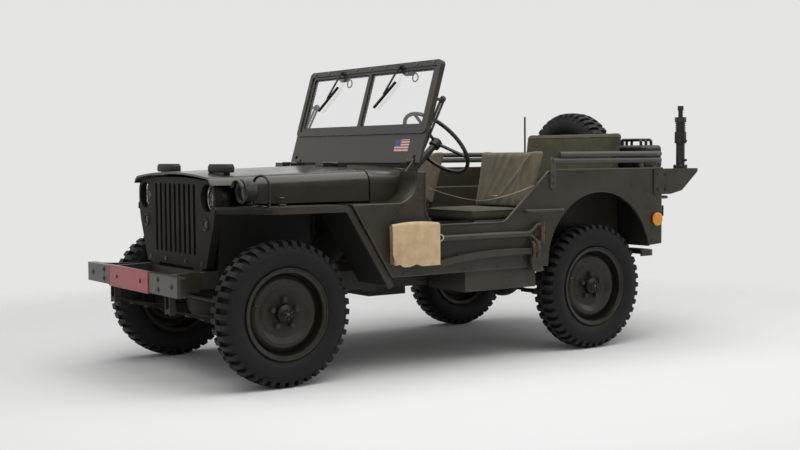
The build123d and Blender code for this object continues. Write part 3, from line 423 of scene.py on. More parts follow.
def axle_reach(tree, centre, axle):
    """Distance of the surface from an axle that runs along X or Y through a centre."""
    spot = add(tree, "VectorMath", {"operation": "SUBTRACT"}, i0=here(tree), i1=centre).outputs[0]
    flat = (1, 0, 1) if axle == "Y" else (0, 1, 1)
    spot = add(tree, "VectorMath", {"operation": "MULTIPLY"}, i0=spot, i1=flat).outputs[0]
    return add(tree, "VectorMath", {"operation": "LENGTH"}, i0=spot).outputs["Value"]


olive_tone = (0.037, 0.0325, 0.0225)
# Lighter olive for edges and lips: rubbed paint, and a painted highlight along them.
rubbed_and_highlit_olive = (0.12, 0.113, 0.093, 1)
olive = worn_and_shaded_finish("olive_paint", olive_tone, rubbed_and_highlit_olive, 0.31, dust=0.18)


def wheel_paint(name, centre, axle):
    """Olive wheel paint, darker round the hub, with painted shade in the well behind the rim and in the
    corners.
    """
    material, tree, out = blank(name)
    wear_and_shade = place_group(tree, wear_and_shade_group, Width=0.005, Scale=12.0)
    dust_mask = place_group(tree, dust_group, Amount=0.25, Scale=9.0)["Mask"]
    reach = axle_reach(tree, centre, axle)
    wobble = calc(tree, "ADD", reach, calc(tree, "MULTIPLY", wear_and_shade["Blotch"], 0.030))
    base = mix(tree, wear_and_shade["Blotch"], shade_of(olive_tone, 0.5), shade_of(olive_tone, 0.9))
    base = mix(tree, dust_mask, base, dust_tone)
    # Lighter edges: rubbed paint and a painted highlight.
    base = lay_over(tree, base, wear_and_shade["Edge"], 0.6, rubbed_and_highlit_olive)
    hub_darkening = ramp(tree, wobble, 0.120, 0.085)
    base = lay_over(tree, base, hub_darkening, 0.9, (0.0085, 0.0075, 0.006, 1))
    # Painted shade in the well behind the rim.
    well = calc(tree, "MULTIPLY", ramp(tree, wobble, 0.196, 0.206), ramp(tree, wobble, 0.226, 0.218))
    base = lay_over(tree, base, well, 0.75, (0.009, 0.0085, 0.007, 1))
    # Painted shade mixed with grime in the corners.
    base = lay_over(tree, base, wear_and_shade["Grime_and_shade"], 0.8, grime_and_shade_tone)
    rough = ramp(tree, wear_and_shade["Blotch"], 0.3, 0.7, 0.30, 0.48)
    raised = add(tree, "Bump", Strength=0.15, Distance=0.0006, Height=wear_and_shade["Grain"])
    surface(tree, out, Base_Color=base, Roughness=rough, Normal=raised.outputs[0], Specular_IOR_Level=0.25)
    return material


def star(count):
    """Unit directions evenly round a wheel that faces the side."""
    turns = [2 * math.pi * k / count for k in range(count)]
    return [Vector((math.sin(turn), 0, math.cos(turn))) for turn in turns]


coat(olive, "spare_carrier")
hub_finish = worn_and_shaded_finish("hub_grease", (0.026, 0.022, 0.017), (0.10, 0.085, 0.065, 1), 0.42, dust=0.5,
                         metallic=0.35)
rust = worn_and_shaded_finish("brown_cap", (0.075, 0.048, 0.030), (0.14, 0.10, 0.07, 1), 0.55, dust=0.3, metallic=0.2)
bare = worn_and_shaded_finish("bare_steel", (0.20, 0.195, 0.185), (0.45, 0.44, 0.42, 1), 0.35, dust=0.3, metallic=0.9,
                   bump=0.25)
nut_circle, nut_face = 0.070, 0.0275
flange_circle, flange_face = 0.020, 0.062
valve_circle = 0.176
cap_outline = ((0.0615, 0.0), (0.0615, 0.011), (0.066, 0.010), (0.069, 0.006), (0.070, 0.0))
valve_outline = ((0.014, 0.0), (0.014, 0.0045), (0.040, 0.0045), (0.041, 0.0035), (0.052, 0.0035),
                 (0.053, 0.0))
wheel_spots = {}
for name in ("front_left", "front_right", "rear_left", "rear_right"):
    low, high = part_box("tyre_" + name)
    centre = (Vector(low) + Vector(high)) / 2
    side = 1 if centre.y > 0 else -1
    out_way = Vector((0, side, 0))
    wheel_spots["tyre_" + name] = (centre, "Y")
    coat(wheel_paint("wheel_paint_" + name, centre, "Y"), "wheel_" + name)
    nuts = [(centre + spoke * nut_circle + out_way * nut_face, out_way) for spoke in star(5)]
    bolts("wheel_nuts_" + name, nuts, "wheel_" + name, hub_finish, "bare_steel", radius=0.0125, height=0.014,
          washer=0.016)
    ring = [(centre + spoke * flange_circle + out_way * flange_face, out_way) for spoke in star(6)]
    bolts("flange_bolts_" + name, ring, "wheel_" + name, hub_finish, "bare_steel", radius=0.0048,
          height=0.008, washer=0.0062)
    cap = bmesh.new()
    lathe(cap, cap_outline, centre, out_way, 20)
    finished("hub_cap_" + name, cap, rust, "wheel_" + name, "bare_steel")
    valve = bmesh.new()
    lathe(valve, valve_outline, centre + star(5)[1] * valve_circle, out_way, 12)
    finished("valve_" + name, valve, bare, "wheel_" + name, "bare_steel")
low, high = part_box("spare_tyre")
centre = (Vector(low) + Vector(high)) / 2
wheel_spots["spare_tyre"] = (centre, "X")
coat(wheel_paint("spare_wheel_paint", centre, "X"), "spare_wheel")
spare_low, spare_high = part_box("spare_wheel")
rim_half = 0.066
spare_face = spare_low[0] + rim_half - nut_face
spare_z = (spare_low[2] + spare_high[2]) / 2
spare_nuts = [((spare_face, nut_circle * math.sin(turn), spare_z + nut_circle * math.cos(turn)), (-1, 0, 0))
              for turn in (0.0, 2.094, 4.189)]
bolts("spare_nuts", spare_nuts, "chassis", hub_finish, "bare_steel", radius=0.0125, height=0.014,
      washer=0.016)


# Tyres: bar-tread rubber, black on the walls with fine moulded rings, greyed on the lugs where it has run on
# the road. Each tyre's finish is centred on its own axle, so that the rings run true.
def tyre_rubber(name, centre, axle, fade):
    """Rubber whose walls and tread are told apart by the distance from the axle."""
    material, tree, out = blank(name)
    wear_and_shade = place_group(tree, wear_and_shade_group, Width=0.004, Scale=14.0)
    dust_mask = place_group(tree, dust_group, Amount=0.14, Scale=11.0)["Mask"]
    reach = axle_reach(tree, centre, axle)
    low, high = shade_of((0.0050, 0.0050, 0.0053), fade), shade_of((0.0095, 0.0095, 0.0099), fade)
    base = mix(tree, wear_and_shade["Blotch"], low, high)
    tread = ramp(tree, reach, 0.335, 0.356)
    scuffed = calc(tree, "ADD", wear_and_shade["Blotch"], 0.15)
    base = lay_over(tree, base, tread, scuffed, (0.024, 0.0235, 0.0225, 1))
    # Painted shade mixed with grime in the tyre's hollows.
    base = lay_over(tree, base, wear_and_shade["Grime_and_shade"], 0.5, (0.004, 0.004, 0.004, 1))
    base = mix(tree, dust_mask, base, (0.075, 0.070, 0.060, 1))
    ring_pitch = 0.0085
    rings = calc(tree, "SINE", calc(tree, "MULTIPLY", reach, 2 * math.pi / ring_pitch))
    wall = between(tree, reach, 0.228, 0.268)
    moulded = calc(tree, "MULTIPLY", calc(tree, "GREATER_THAN", rings, 0.55), wall)
    moulded = calc(tree, "ADD", moulded, between(tree, reach, 0.304, 0.309))
    height = calc(tree, "ADD", calc(tree, "MULTIPLY", wear_and_shade["Grain"], 0.3), moulded)
    raised = add(tree, "Bump", Strength=0.5, Distance=0.0012, Height=height)
    rough = ramp(tree, wear_and_shade["Blotch"], 0.0, 1.0, 0.56, 0.78)
    surface(tree, out, Base_Color=base, Roughness=rough, Normal=raised.outputs[0], Specular_IOR_Level=0.3)
    return material


# The spare's rubber is made lighter than the other tyres by this factor.
spare_lightening = {"spare_tyre": 2.4}
for name, (centre, axle) in wheel_spots.items():
    coat(tyre_rubber(name + "_rubber", centre, axle, spare_lightening.get(name, 1.0)), name)


# Bumpers: a pressed steel channel across the frame ends with round-headed bolts into the rails, and two
# curved bumperettes behind. A blank red plate with a raised rim is bolted to the middle of the front face.
def slab(shape, low, high, soft=0.003, steps=2):
    """A block with rounded edges in a bmesh."""
    made = bmesh.ops.create_cube(shape, size=1.0)["verts"]
    size = Vector(high) - Vector(low)
    bmesh.ops.scale(shape, vec=size, verts=made)
    bmesh.ops.translate(shape, vec=(Vector(high) + Vector(low)) / 2, verts=made)
    edges = list({edge for vert in made for edge in vert.link_edges})
    bmesh.ops.bevel(shape, geom=edges, offset=min(soft, min(size) * 0.45), segments=steps, affect="EDGES",
                    profile=0.5)


coat(olive, "front_bumper", "rear_bumperettes")
low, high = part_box("front_bumper")
bumper_face = high[0]
bumper_mid = (low[2] + high[2]) / 2
rail_y, outer_bolt_y, bolt_rise = 0.345, 0.50, 0.024
forward = (1, 0, 0)
places = [((bumper_face, side * rail_y, bumper_mid + rise), forward) for side in (1, -1)
          for rise in (-bolt_rise, bolt_rise)]
places += [((bumper_face, side * outer_bolt_y, bumper_mid), forward) for side in (1, -1)]
bolts("bumper_bolts", places, "chassis", olive, "olive_paint", radius=0.012, height=0.007, sides=14,
      washer=0.016, taper=0.55)
plate_middle, plate_half, plate_rise = -0.014, 0.255, 0.055
rim_inset, rim_half_width, plate_bolt_y = 0.006, 0.0022, 0.15
plate_red = worn_and_shaded_finish("red_plate", (0.40, 0.050, 0.055), (0.52, 0.24, 0.23, 1), 0.32, scale=10.0, dust=0.12,
                        bump=0.06, edge=0.3)
plate = bmesh.new()
slab(plate, (bumper_face + 0.0003, plate_middle - plate_half, bumper_mid - plate_rise),
     (bumper_face + 0.0026, plate_middle + plate_half, bumper_mid + plate_rise), 0.001)
for rise in (1, -1):
    z = bumper_mid + rise * (plate_rise - rim_inset)
    slab(plate, (bumper_face + 0.002, plate_middle - plate_half + 0.003, z - rim_half_width),
         (bumper_face + 0.0042, plate_middle + plate_half - 0.003, z + rim_half_width), 0.0015)
    y = plate_middle + rise * (plate_half - rim_inset)
    slab(plate, (bumper_face + 0.002, y - rim_half_width, bumper_mid - plate_rise + 0.003),
         (bumper_face + 0.0042, y + rim_half_width, bumper_mid + plate_rise - 0.003), 0.0015)
finished("red_plate", plate, plate_red, "chassis", "reflector", smooth=False)
places = [((bumper_face + 0.004, plate_middle + side * plate_bolt_y, bumper_mid), forward)
          for side in (1, -1)]
bolts("plate_bolts", places, "chassis", bare, "bare_steel", radius=0.0075, height=0.005, washer=0.011)


# Body tub: welded steel sides, cowl and tail plate under olive paint, with a rolled rim along the upper edge.
# Round-headed bolts hold the seams, footman loops sit on the tail, and the folded top bows lie along the
# sides in bolted sockets.
glossy_olive = worn_and_shaded_finish("glossy_olive", olive_tone, rubbed_and_highlit_olive, 0.19, dust=0.12)
coat(glossy_olive, "cowl")
coat(olive, "side_left", "side_right", "rear_panel", "grab_handles", "fuel_tank",
     "antenna_bracket", "jerrycan_carrier", "steering_column", "seat_frames")
# Painted shade inside the wheel arches: near-black patches on the arch faces of the fenders and wheel boxes.
arch_painted_shade = (0.0085, 0.008, 0.007)
coat(worn_and_shaded_finish("fender_paint", olive_tone, rubbed_and_highlit_olive, 0.31, dust=0.18, patches=(
    ({"Y": (-0.70, 0.70), "Z": (0.2, 0.868)}, arch_painted_shade, 0.7),
)), "fenders")
coat(worn_and_shaded_finish("wheel_box_paint", olive_tone, rubbed_and_highlit_olive, 0.36, dust=0.3, patches=(
    ({"Y": (0.47, 0.75), "Z": (0.2, 0.905)}, arch_painted_shade, 0.7),
    ({"Y": (-0.75, -0.47), "Z": (0.2, 0.905)}, arch_painted_shade, 0.7),
)), "wheel_boxes")
coat(worn_and_shaded_finish("bow_paint", (0.060, 0.057, 0.046), (0.15, 0.14, 0.115, 1), 0.42, dust=0.3), "top_bows")
low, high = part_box("side_left")
skin_y = high[1]
tail_x = low[0]
sill_z, pillar_x, quarter_z, socket_x, socket_y = 0.523, 0.40, 0.605, -0.505, skin_y + 0.008
seam = []
for side in (1, -1):
    out_way = (0, side, 0)
    seam += [((x, side * skin_y, sill_z), out_way) for x in (0.50, 0.32, 0.10, -0.12, -0.34)]
    seam += [((pillar_x, side * skin_y, z), out_way) for z in (0.96, 0.90)]
    seam += [((x, side * skin_y, quarter_z), out_way) for x in (-1.335, -1.30)]
    seam += [((socket_x, side * socket_y, z), out_way) for z in (0.963, 1.005)]
    seam += [((tail_x, side * y, z), (-1, 0, 0)) for y in (0.66, 0.70) for z in (0.98, 0.63)]
bolts("body_bolts", seam, "chassis", olive, "olive_paint", radius=0.008, height=0.005, sides=12,
      washer=0.0125, taper=0.6)


def band(shape, path, across, width, thick, closed=False):
    """A flat strap along a path, its width along the across direction."""
    path = [Vector(point) for point in path]
    across = Vector(across).normalized()
    loops = []
    count = len(path)
    for index, point in enumerate(path):
        before = path[index - 1] if index or closed else point
        after = path[(index + 1) % count] if index < count - 1 or closed else point
        out_way = (after - before).normalized().cross(across)
        loops.append([shape.verts.new(point + across * a * width / 2 + out_way * b * thick / 2)
                      for a, b in ((-1, -1), (1, -1), (1, 1), (-1, 1))])
    pairs = list(zip(loops, loops[1:] + loops[:1])) if closed else list(zip(loops, loops[1:]))
    for loop, after in pairs:
        for side in range(4):
            shape.faces.new([loop[side], loop[(side + 1) % 4], after[(side + 1) % 4], after[side]])
    if not closed:
        shape.faces.new(loops[0][::-1])
        shape.faces.new(loops[-1])


def curve_through(name, points, smooth=True, cyclic=False):
    """A curve bent smoothly by points, or straight from point to point, with closed ends."""
    curve = bpy.data.curves.new(name, "CURVE")
    curve.dimensions = "3D"
    curve.use_fill_caps = not cyclic
    line = curve.splines.new("NURBS" if smooth else "POLY")
    line.points.add(len(points) - 1)
    for point, spot in zip(line.points, points):
        point.co = (*spot, 1)
    line.use_cyclic_u = cyclic
    if smooth:
        line.use_endpoint_u = not cyclic
        line.order_u = 3
    return curve


def tube(name, points, radius, finish, body, slot, smooth=True, cyclic=False):
    """A round bar or pipe along a curve."""
    curve = curve_through(name, points, smooth, cyclic)
    curve.bevel_depth = radius
    curve.bevel_resolution = 3
    made = plain(name, placed(name + "_line", curve))
    made.data.materials.append(finish)
    made.data.shade_smooth()
    return settle(made, body, slot)


def footman_loop(shape, spot, along, out_way, length=0.052, rise=0.012):
    """A pressed strap loop with two feet."""
    spot, along, out_way = Vector(spot), Vector(along).normalized(), Vector(out_way).normalized()
    across = along.cross(out_way)
    half = ((0.14, rise), (0.24, rise / 2), (0.34, 0.0012), (0.5, 0.0006))
    outline = [(-a, b) for a, b in half[::-1]] + list(half)
    band(shape, [spot + along * a * length + out_way * b for a, b in outline], across, 0.011, 0.0024)


loops = bmesh.new()
for y in (-0.62, -0.20, 0.62):
    footman_loop(loops, (tail_x, y, 0.985), (0, 1, 0), (-1, 0, 0))
finished("footman_loops", loops, olive, "chassis", "olive_paint")
# Corners of the upper edge from pillar to tail: (x, z, bend)
edge_corners = ((0.368, 1.036, 0.0), (0.368, 0.760, 0.095), (-0.164, 0.760, 0.080), (-0.485, 1.035, 0.080),
                (tail_x + 0.004, 1.035, 0.0))
edge_line = [Vector(edge_corners[0][:2])]
for before, (x, z, bend), after in zip(edge_corners, edge_corners[1:], edge_corners[2:]):
    corner = Vector((x, z))
    back = (Vector(before[:2]) - corner).normalized()
    on = (Vector(after[:2]) - corner).normalized()
    half = back.angle(on) / 2
    middle = corner + (back + on).normalized() * bend / math.sin(half)
    first = corner + back * bend / math.tan(half) - middle
    last = corner + on * bend / math.tan(half) - middle
    swing = first.angle_signed(last)
    edge_line += [middle + Matrix.Rotation(-swing * k / 8, 2) @ first for k in range(9)]
edge_line.append(Vector(edge_corners[-1][:2]))
for side, name in ((1, "left"), (-1, "right")):
    route = [(x, side * (skin_y - 0.001), z - 0.001) for x, z in edge_line]
    tube("rolled_edge_" + name, route, 0.0062, olive, "chassis", "olive_paint", smooth=False)


# Grille and radiator: one pressed steel panel with a turned-back edge, coloured near black, much darker than
# the body, held by four bolts along its foot, in front of a black finned core.
coat(worn_and_shaded_finish("grille_paint", (0.0125, 0.0118, 0.0095), (0.09, 0.085, 0.07, 1), 0.55, dust=0.12,
                 specular=0.15), "grille")


def fins(tree):
    """Fine upright fins crossed by flat tubes."""
    upright = add(tree, "TexWave", {"bands_direction": "Y"}, Vector=here(tree), Scale=95.0).outputs["Fac"]
    level = add(tree, "TexWave", {"bands_direction": "Z"}, Vector=here(tree), Scale=26.0).outputs["Fac"]
    return calc(tree, "MAXIMUM", upright, level)


coat(worn_and_shaded_finish("radiator_core", (0.012, 0.012, 0.012), (0.05, 0.05, 0.05, 1), 0.5, dust=0.3, bump=0.9,
                 relief=fins), "radiator")
panel_x, panel_foot = 1.42, 0.595
places = [((panel_x, side * y, panel_foot), forward) for side in (1, -1) for y in (0.12, 0.31)]
bolts("grille_bolts", places, "chassis", olive, "olive_paint", radius=0.008, height=0.005, washer=0.012)


# Front lamps: black shells with bright mirrors and fluted glass, set in the grille's round holes on two tabs
# each, and marker lamps below. A blackout lamp with a bar guard stands on the left fender, on flat feet.
def flutes(tree):
    """Upright flutes pressed into lamp glass."""
    return add(tree, "TexWave", {"bands_direction": "Y"}, Vector=here(tree), Scale=22.0).outputs["Fac"]


glass, tree, out = blank("lamp_glass")
wavy = add(tree, "Bump", Strength=0.35, Distance=0.002, Height=flutes(tree))
specks = place_group(tree, dust_group, Amount=0.4, Scale=20.0)["Mask"]
tint = mix(tree, specks, (0.96, 0.96, 0.94, 1), (0.62, 0.58, 0.50, 1))
surface(tree, out, Base_Color=tint, Roughness=0.03, IOR=1.48, Transmission_Weight=1.0, Normal=wavy.outputs[0])
chrome = worn_and_shaded_finish("bright_rim", (0.66, 0.65, 0.62), (0.8, 0.8, 0.78, 1), 0.14, dust=0.08, metallic=1.0,
                     bump=0.05)
lamp_black = worn_and_shaded_finish("lamp_black", (0.012, 0.0115, 0.010), (0.06, 0.057, 0.05, 1), 0.36, dust=0.15)
smoked = worn_and_shaded_finish("smoked_glass", (0.020, 0.019, 0.017), (0.05, 0.05, 0.048, 1), 0.12, dust=0.08)
shells, mirrors, smoked_glasses = bmesh.new(), bmesh.new(), bmesh.new()
lens_x, lamp_y, lamp_z, tab_rise, panel_back = 1.374, 0.375, 0.922, 0.074, 1.4055
marker_x, marker_y, marker_z = 1.410, 0.357, 0.790
shell_outline = ((-0.084, 0.0), (-0.084, 0.024), (-0.062, 0.050), (-0.030, 0.068), (-0.006, 0.0745),
                 (0.004, 0.0750), (0.004, 0.0715), (-0.004, 0.0705), (-0.030, 0.0640), (-0.060, 0.0460),
                 (-0.079, 0.0))
mirror_outline = ((-0.0755, 0.0), (-0.062, 0.036), (-0.040, 0.0560), (-0.012, 0.0690), (-0.003, 0.0700),
                  (-0.0035, 0.0705), (-0.012, 0.0697), (-0.040, 0.0567), (-0.0625, 0.0365), (-0.0762, 0.0))
lens = ((0.0, 0.0712), (0.003, 0.0712), (0.009, 0.054), (0.013, 0.032), (0.0148, 0.0))
lens_front = tuple((along + 0.0014, r) for along, r in lens)
lens_back = tuple((along, max(r - 0.001, 0.0)) for along, r in lens[::-1])
rim_outline = ((0.001, 0.0705), (0.001, 0.0755), (0.006, 0.0755), (0.0085, 0.0735), (0.007, 0.0705),
               (0.001, 0.0705))
marker_outline = ((-0.040, 0.0), (-0.040, 0.026), (-0.034, 0.031), (0.014, 0.0315), (0.017, 0.0300),
                  (0.016, 0.0270), (0.002, 0.0262), (0.002, 0.0))
marker_lens = ((0.001, 0.0), (0.001, 0.0265), (0.006, 0.0255), (0.011, 0.0180), (0.0135, 0.0))
for side, name in ((1, "left"), (-1, "right")):
    spot = Vector((lens_x, side * lamp_y, lamp_z))
    lathe(shells, shell_outline, spot, forward, 44)
    for rise in (tab_rise, -tab_rise):
        slab(shells, (lens_x - 0.004, spot.y - 0.014, lamp_z + rise - 0.003),
             (panel_back, spot.y + 0.014, lamp_z + rise + 0.003), 0.002)
    lathe(mirrors, mirror_outline, spot, forward, 44)
    cover = bmesh.new()
    lathe(cover, lens_front + lens_back + lens_front[:1], spot, forward, 44)
    finished("headlamp_glass_" + name, cover, glass, "chassis", "lamp_glass")
    hoop = bmesh.new()
    lathe(hoop, rim_outline, spot, forward, 44)
    finished("headlamp_rim_" + name, hoop, chrome, "chassis", "bare_steel")
    spot = Vector((marker_x, side * marker_y, marker_z))
    lathe(shells, marker_outline, spot, forward, 32)
    lathe(smoked_glasses, marker_lens, spot, forward, 32)
drum = Vector((1.265, 0.600, 0.957))
fender_top = 0.881
drum_outline = ((0.0, 0.0), (0.0, 0.020), (0.014, 0.042), (0.038, 0.056), (0.078, 0.0565), (0.080, 0.0590),
                (0.087, 0.0590), (0.087, 0.0500), (0.076, 0.0480), (0.076, 0.0))
drum_lens = ((0.0755, 0.0), (0.0755, 0.0475), (0.079, 0.0440), (0.083, 0.0))
lathe(shells, drum_outline, drum, forward, 44)
lathe(smoked_glasses, drum_lens, drum, forward, 36)
visor_x, visor_radius = 0.100, 0.0545
visor_turns = [math.radians(18 + 144 * k / 16) for k in range(17)]
visor = [drum + Vector((visor_x, visor_radius * math.cos(turn), visor_radius * math.sin(turn)))
         for turn in visor_turns]
band(shells, visor, forward, 0.030, 0.0025)
post_foot, post_head, post_radius = fender_top - drum.z, -0.045, 0.014
post_outline = ((post_foot, 0.0), (post_foot, post_radius), (post_head, post_radius), (post_head, 0.0))
lathe(shells, post_outline, drum + Vector((0.040, 0, 0)), (0, 0, 1), 20)
guard_x, guard_half, guard_foot, guard_bend, guard_rise = 1.241, 0.078, 0.882, 0.990, 0.041
guard_in, guard_out = drum.y - guard_half, drum.y + guard_half
slab(shells, (guard_x, guard_in, 0.8803), (1.277, guard_out, 0.887), 0.002)
slab(shells, (1.275, 0.566, 0.8803), (1.345, 0.634, 0.888), 0.002)
finished("lamp_shells", shells, lamp_black, "chassis", "black_paint", "front_lamps")
finished("lamp_mirrors", mirrors, chrome, "chassis", "bare_steel")
finished("smoked_glasses", smoked_glasses, smoked, "chassis", "lamp_glass")
guard = [(guard_x, guard_in, guard_foot)]
for step in range(13):
    turn = math.pi * step / 12
    guard.append((guard_x, drum.y - guard_half * math.cos(turn), guard_bend + guard_rise * math.sin(turn)))
guard.append((guard_x, guard_out, guard_foot))
tube("lamp_guard", guard, 0.007, lamp_black, "chassis", "black_paint", smooth=False)


# Hood: a crowned steel pressing in glossy olive, hinged on the cowl. Two dark rest blocks for the folded
# windshield are screwed on top, and a spring catch on each fender holds it down.
coat(glossy_olive, "hood")
block_finish = worn_and_shaded_finish("rest_block", (0.016, 0.015, 0.013), (0.10, 0.085, 0.065, 1), 0.6, dust=0.3,
                           bump=0.5, edge=0.4)
rest_y, rest_half, rest_foot, rest_top = 0.310, 0.096, 1.045, 1.081
rest_blocks = bmesh.new()
for y in (rest_y, -rest_y):
    slab(rest_blocks, (1.281, y - rest_half, rest_foot), (1.337, y + rest_half, rest_top), 0.008, 3)
    slab(rest_blocks, (1.285, y - 0.090, rest_top - 0.002), (1.333, y + 0.090, rest_top + 0.006), 0.003, 2)
finished("hood_rest_blocks", rest_blocks, block_finish, "hood", "black_plastic")
catch = bmesh.new()
catch_pin = ((-0.014, 0.0), (-0.014, 0.006), (0.014, 0.006), (0.014, 0.0))
for foot_y, lever_y, pin_y in ((0.560, 0.556, 0.558), (-0.560, -0.556, -0.558)):
    slab(catch, (1.085, foot_y - 0.010, fender_top), (1.125, foot_y + 0.010, fender_top + 0.008), 0.002)
    slab(catch, (1.097, lever_y - 0.004, 0.886), (1.113, lever_y + 0.004, 0.915), 0.003)
    lathe(catch, catch_pin, (1.105, pin_y, 0.917), forward, 14)
finished("hood_catches", catch, olive, "chassis", "olive_paint")


# Windshield: a folding steel frame with a lower panel, two panes in rubber channels and slotted prop arms.
# Snap studs for the top run along the upper rail, and two hand-size wiper motors hang inside it.
coat(olive, "windshield_frame")
window, tree, out = blank("window_glass")
specks = place_group(tree, dust_group, Amount=0.10, Scale=9.0)["Mask"]
tint = mix(tree, specks, (0.975, 0.985, 0.98, 1), (0.78, 0.77, 0.74, 1))
surface(tree, out, Base_Color=tint, Roughness=0.0, IOR=1.45, Transmission_Weight=1.0)
coat(window, "windshield_glass")
black = worn_and_shaded_finish("black_paint", (0.013, 0.013, 0.013), (0.07, 0.07, 0.068, 1), 0.42, dust=0.25)
coat(black, "wipers", "rod_aerial")
gasket_rubber = worn_and_shaded_finish("gasket_rubber", (0.010, 0.010, 0.010), (0.03, 0.03, 0.03, 1), 0.6, dust=0.2)
lean = math.radians(16.5)
hinge = Vector((0.340, 0, 1.092))
glass_up = Vector((-math.sin(lean), 0, math.cos(lean)))
glass_out = Vector((math.cos(lean), 0, math.sin(lean)))
shield_height = 0.553


def on_shield(y, up, out=0.0):
    """A point on the windshield, by its place across, its height from the hinge and its distance in front."""
    return hinge + Vector((0, y, 0)) + glass_up * up + glass_out * out


def rounded_ring(low, high, soft):
    """Points round a flat rectangle with rounded corners."""
    low, high = [a + soft for a in low], [a - soft for a in high]
    ring = []
    corners = ((low[0], low[1]), (high[0], low[1]), (high[0], high[1]), (low[0], high[1]))
    for turn, (a, b) in enumerate(corners):
        for step in range(5):
            angle = math.pi * (1 + turn / 2 + step / 8)
            ring.append((a + soft * math.cos(angle), b + soft * math.sin(angle)))
    return ring


pane_low, pane_high, pane_in, pane_out = 0.200, 0.508, 0.016, 0.606
channel = bmesh.new()
for side in (1, -1):
    route = rounded_ring((pane_in, pane_low), (pane_out, pane_high), 0.012)
    for depth in (0.0, -0.0125):
        ring = [on_shield(side * y, up, depth) for y, up in route]
        band(channel, ring, glass_out, 0.007, 0.010, closed=True)
finished("glass_channels", channel, gasket_rubber, "windshield", "black_plastic")
studs = [(on_shield(-0.60 + 0.15 * k, shield_height - 0.014, 0.0155), glass_out) for k in range(9)]
bolts("top_studs", studs, "windshield", bare, "bare_steel", radius=0.0055, height=0.006, sides=12,
      washer=0.0075, taper=0.7)
panel_face, rivet_up = 0.0085, 0.155
rivets = [(on_shield(side * y, rivet_up, panel_face), glass_out) for side in (1, -1)
          for y in (0.62, 0.40, 0.18)]
bolts("panel_rivets", rivets, "windshield", olive, "olive_paint", radius=0.0065, height=0.005, sides=12,
      washer=0.009, taper=0.6)
motor_y, motor_up, motor_depth = 0.33, 0.512, -0.030
motor_body = ((-0.034, 0.0), (-0.034, 0.016), (-0.030, 0.020), (0.030, 0.020), (0.034, 0.016), (0.034, 0.0))
motor_neck = ((0.0, 0.0), (0.0, 0.009), (0.020, 0.009), (0.020, 0.0))
motor_knob = ((0.0, 0.0), (0.0, 0.006), (0.016, 0.007), (0.020, 0.0))
# Hose from motor to rail: (place across from the motor's middle, height, distance in front)
hose_route = ((0.030, 0.512, -0.030), (0.075, 0.505, -0.030), (0.095, 0.47, -0.034), (0.060, 0.452, -0.036),
              (0.035, 0.478, -0.032), (0.055, 0.52, -0.026), (0.09, 0.531, -0.018))
motor = bmesh.new()
for y, name in ((motor_y, "left"), (-motor_y, "right")):
    lathe(motor, motor_body, on_shield(y, motor_up, motor_depth), (0, 1, 0), 20)
    lathe(motor, motor_neck, on_shield(y, motor_up, -0.016), glass_out, 14)
    lathe(motor, motor_knob, on_shield(y - 0.045, motor_up, motor_depth), (0, -1, 0), 12)
    tube("wiper_hose_" + name, [on_shield(y + across, up, depth) for across, up, depth in hose_route], 0.0034,
         gasket_rubber, "windshield", "black_plastic")
finished("wiper_motors", motor, black, "windshield", "black_paint")


# Decal: plain stripes and a plain corner printed on thin film, stuck on the left of the windshield's lower
# panel. It folds down with the windshield.
decal, tree, out = blank("striped_decal")
spot = add(tree, "SeparateXYZ", Vector=here(tree)).outputs
decal_y, decal_up, decal_half, decal_rise = 0.473, 0.084, 0.065, 0.034
stripe_pairs, corner_foot, corner_y = 4.5, 0.46, decal_y - 0.012
bottom = on_shield(0, decal_up - decal_rise).z
run = 2 * decal_rise * math.cos(lean)
level = calc(tree, "DIVIDE", calc(tree, "SUBTRACT", spot["Z"], bottom), run)
stripe = calc(tree, "GREATER_THAN", calc(tree, "FRACT", calc(tree, "MULTIPLY", level, stripe_pairs)), 0.5)
tone = mix(tree, stripe, (0.50, 0.07, 0.08, 1), (0.72, 0.68, 0.66, 1))
field = calc(tree, "MULTIPLY", calc(tree, "GREATER_THAN", level, corner_foot),
             calc(tree, "LESS_THAN", spot["Y"], corner_y))
tone = mix(tree, field, tone, (0.06, 0.085, 0.24, 1))
faded = place_group(tree, dust_group, Amount=0.3, Scale=40.0)["Mask"]
tone = mix(tree, faded, tone, (0.35, 0.32, 0.30, 1))
surface(tree, out, Base_Color=tone, Roughness=0.45)
film = bmesh.new()
ends = [on_shield(decal_y + side * decal_half, decal_up, panel_face + 0.0001) for side in (-1, 1)]
band(film, ends, glass_up, 2 * decal_rise, 0.0008)
finished("striped_decal", film, decal, "windshield", "reflector", smooth=False)


# Seal: a rubber strip stuck under the windshield panel and shaped to the crown of the cowl.
# It closes the slit above the cowl, and folds down with the windshield.
strip = bmesh.new()
seal_half, seal_steps = 0.585, 24
seal_rear, seal_front, seal_top = 0.334, 0.344, 1.096
seal_rows = []
for step in range(seal_steps + 1):
    y = -seal_half + 2 * seal_half * step / seal_steps
    crown = 1.0695 - 0.022 * (y / 0.590) ** 2 - 0.020 * max(0.0, (abs(y) - 0.52) / 0.065) ** 2
    section = ((seal_rear, crown), (seal_front, crown), (seal_front, seal_top), (seal_rear, seal_top))
    seal_rows.append([strip.verts.new((x, y, z)) for x, z in section])
for row, after in zip(seal_rows, seal_rows[1:]):
    for side in range(4):
        strip.faces.new([row[side], row[(side + 1) % 4], after[(side + 1) % 4], after[side]])
strip.faces.new(seal_rows[0])
strip.faces.new(seal_rows[-1][::-1])
finished("cowl_seal", strip, gasket_rubber, "windshield", "black_plastic", smooth=False)


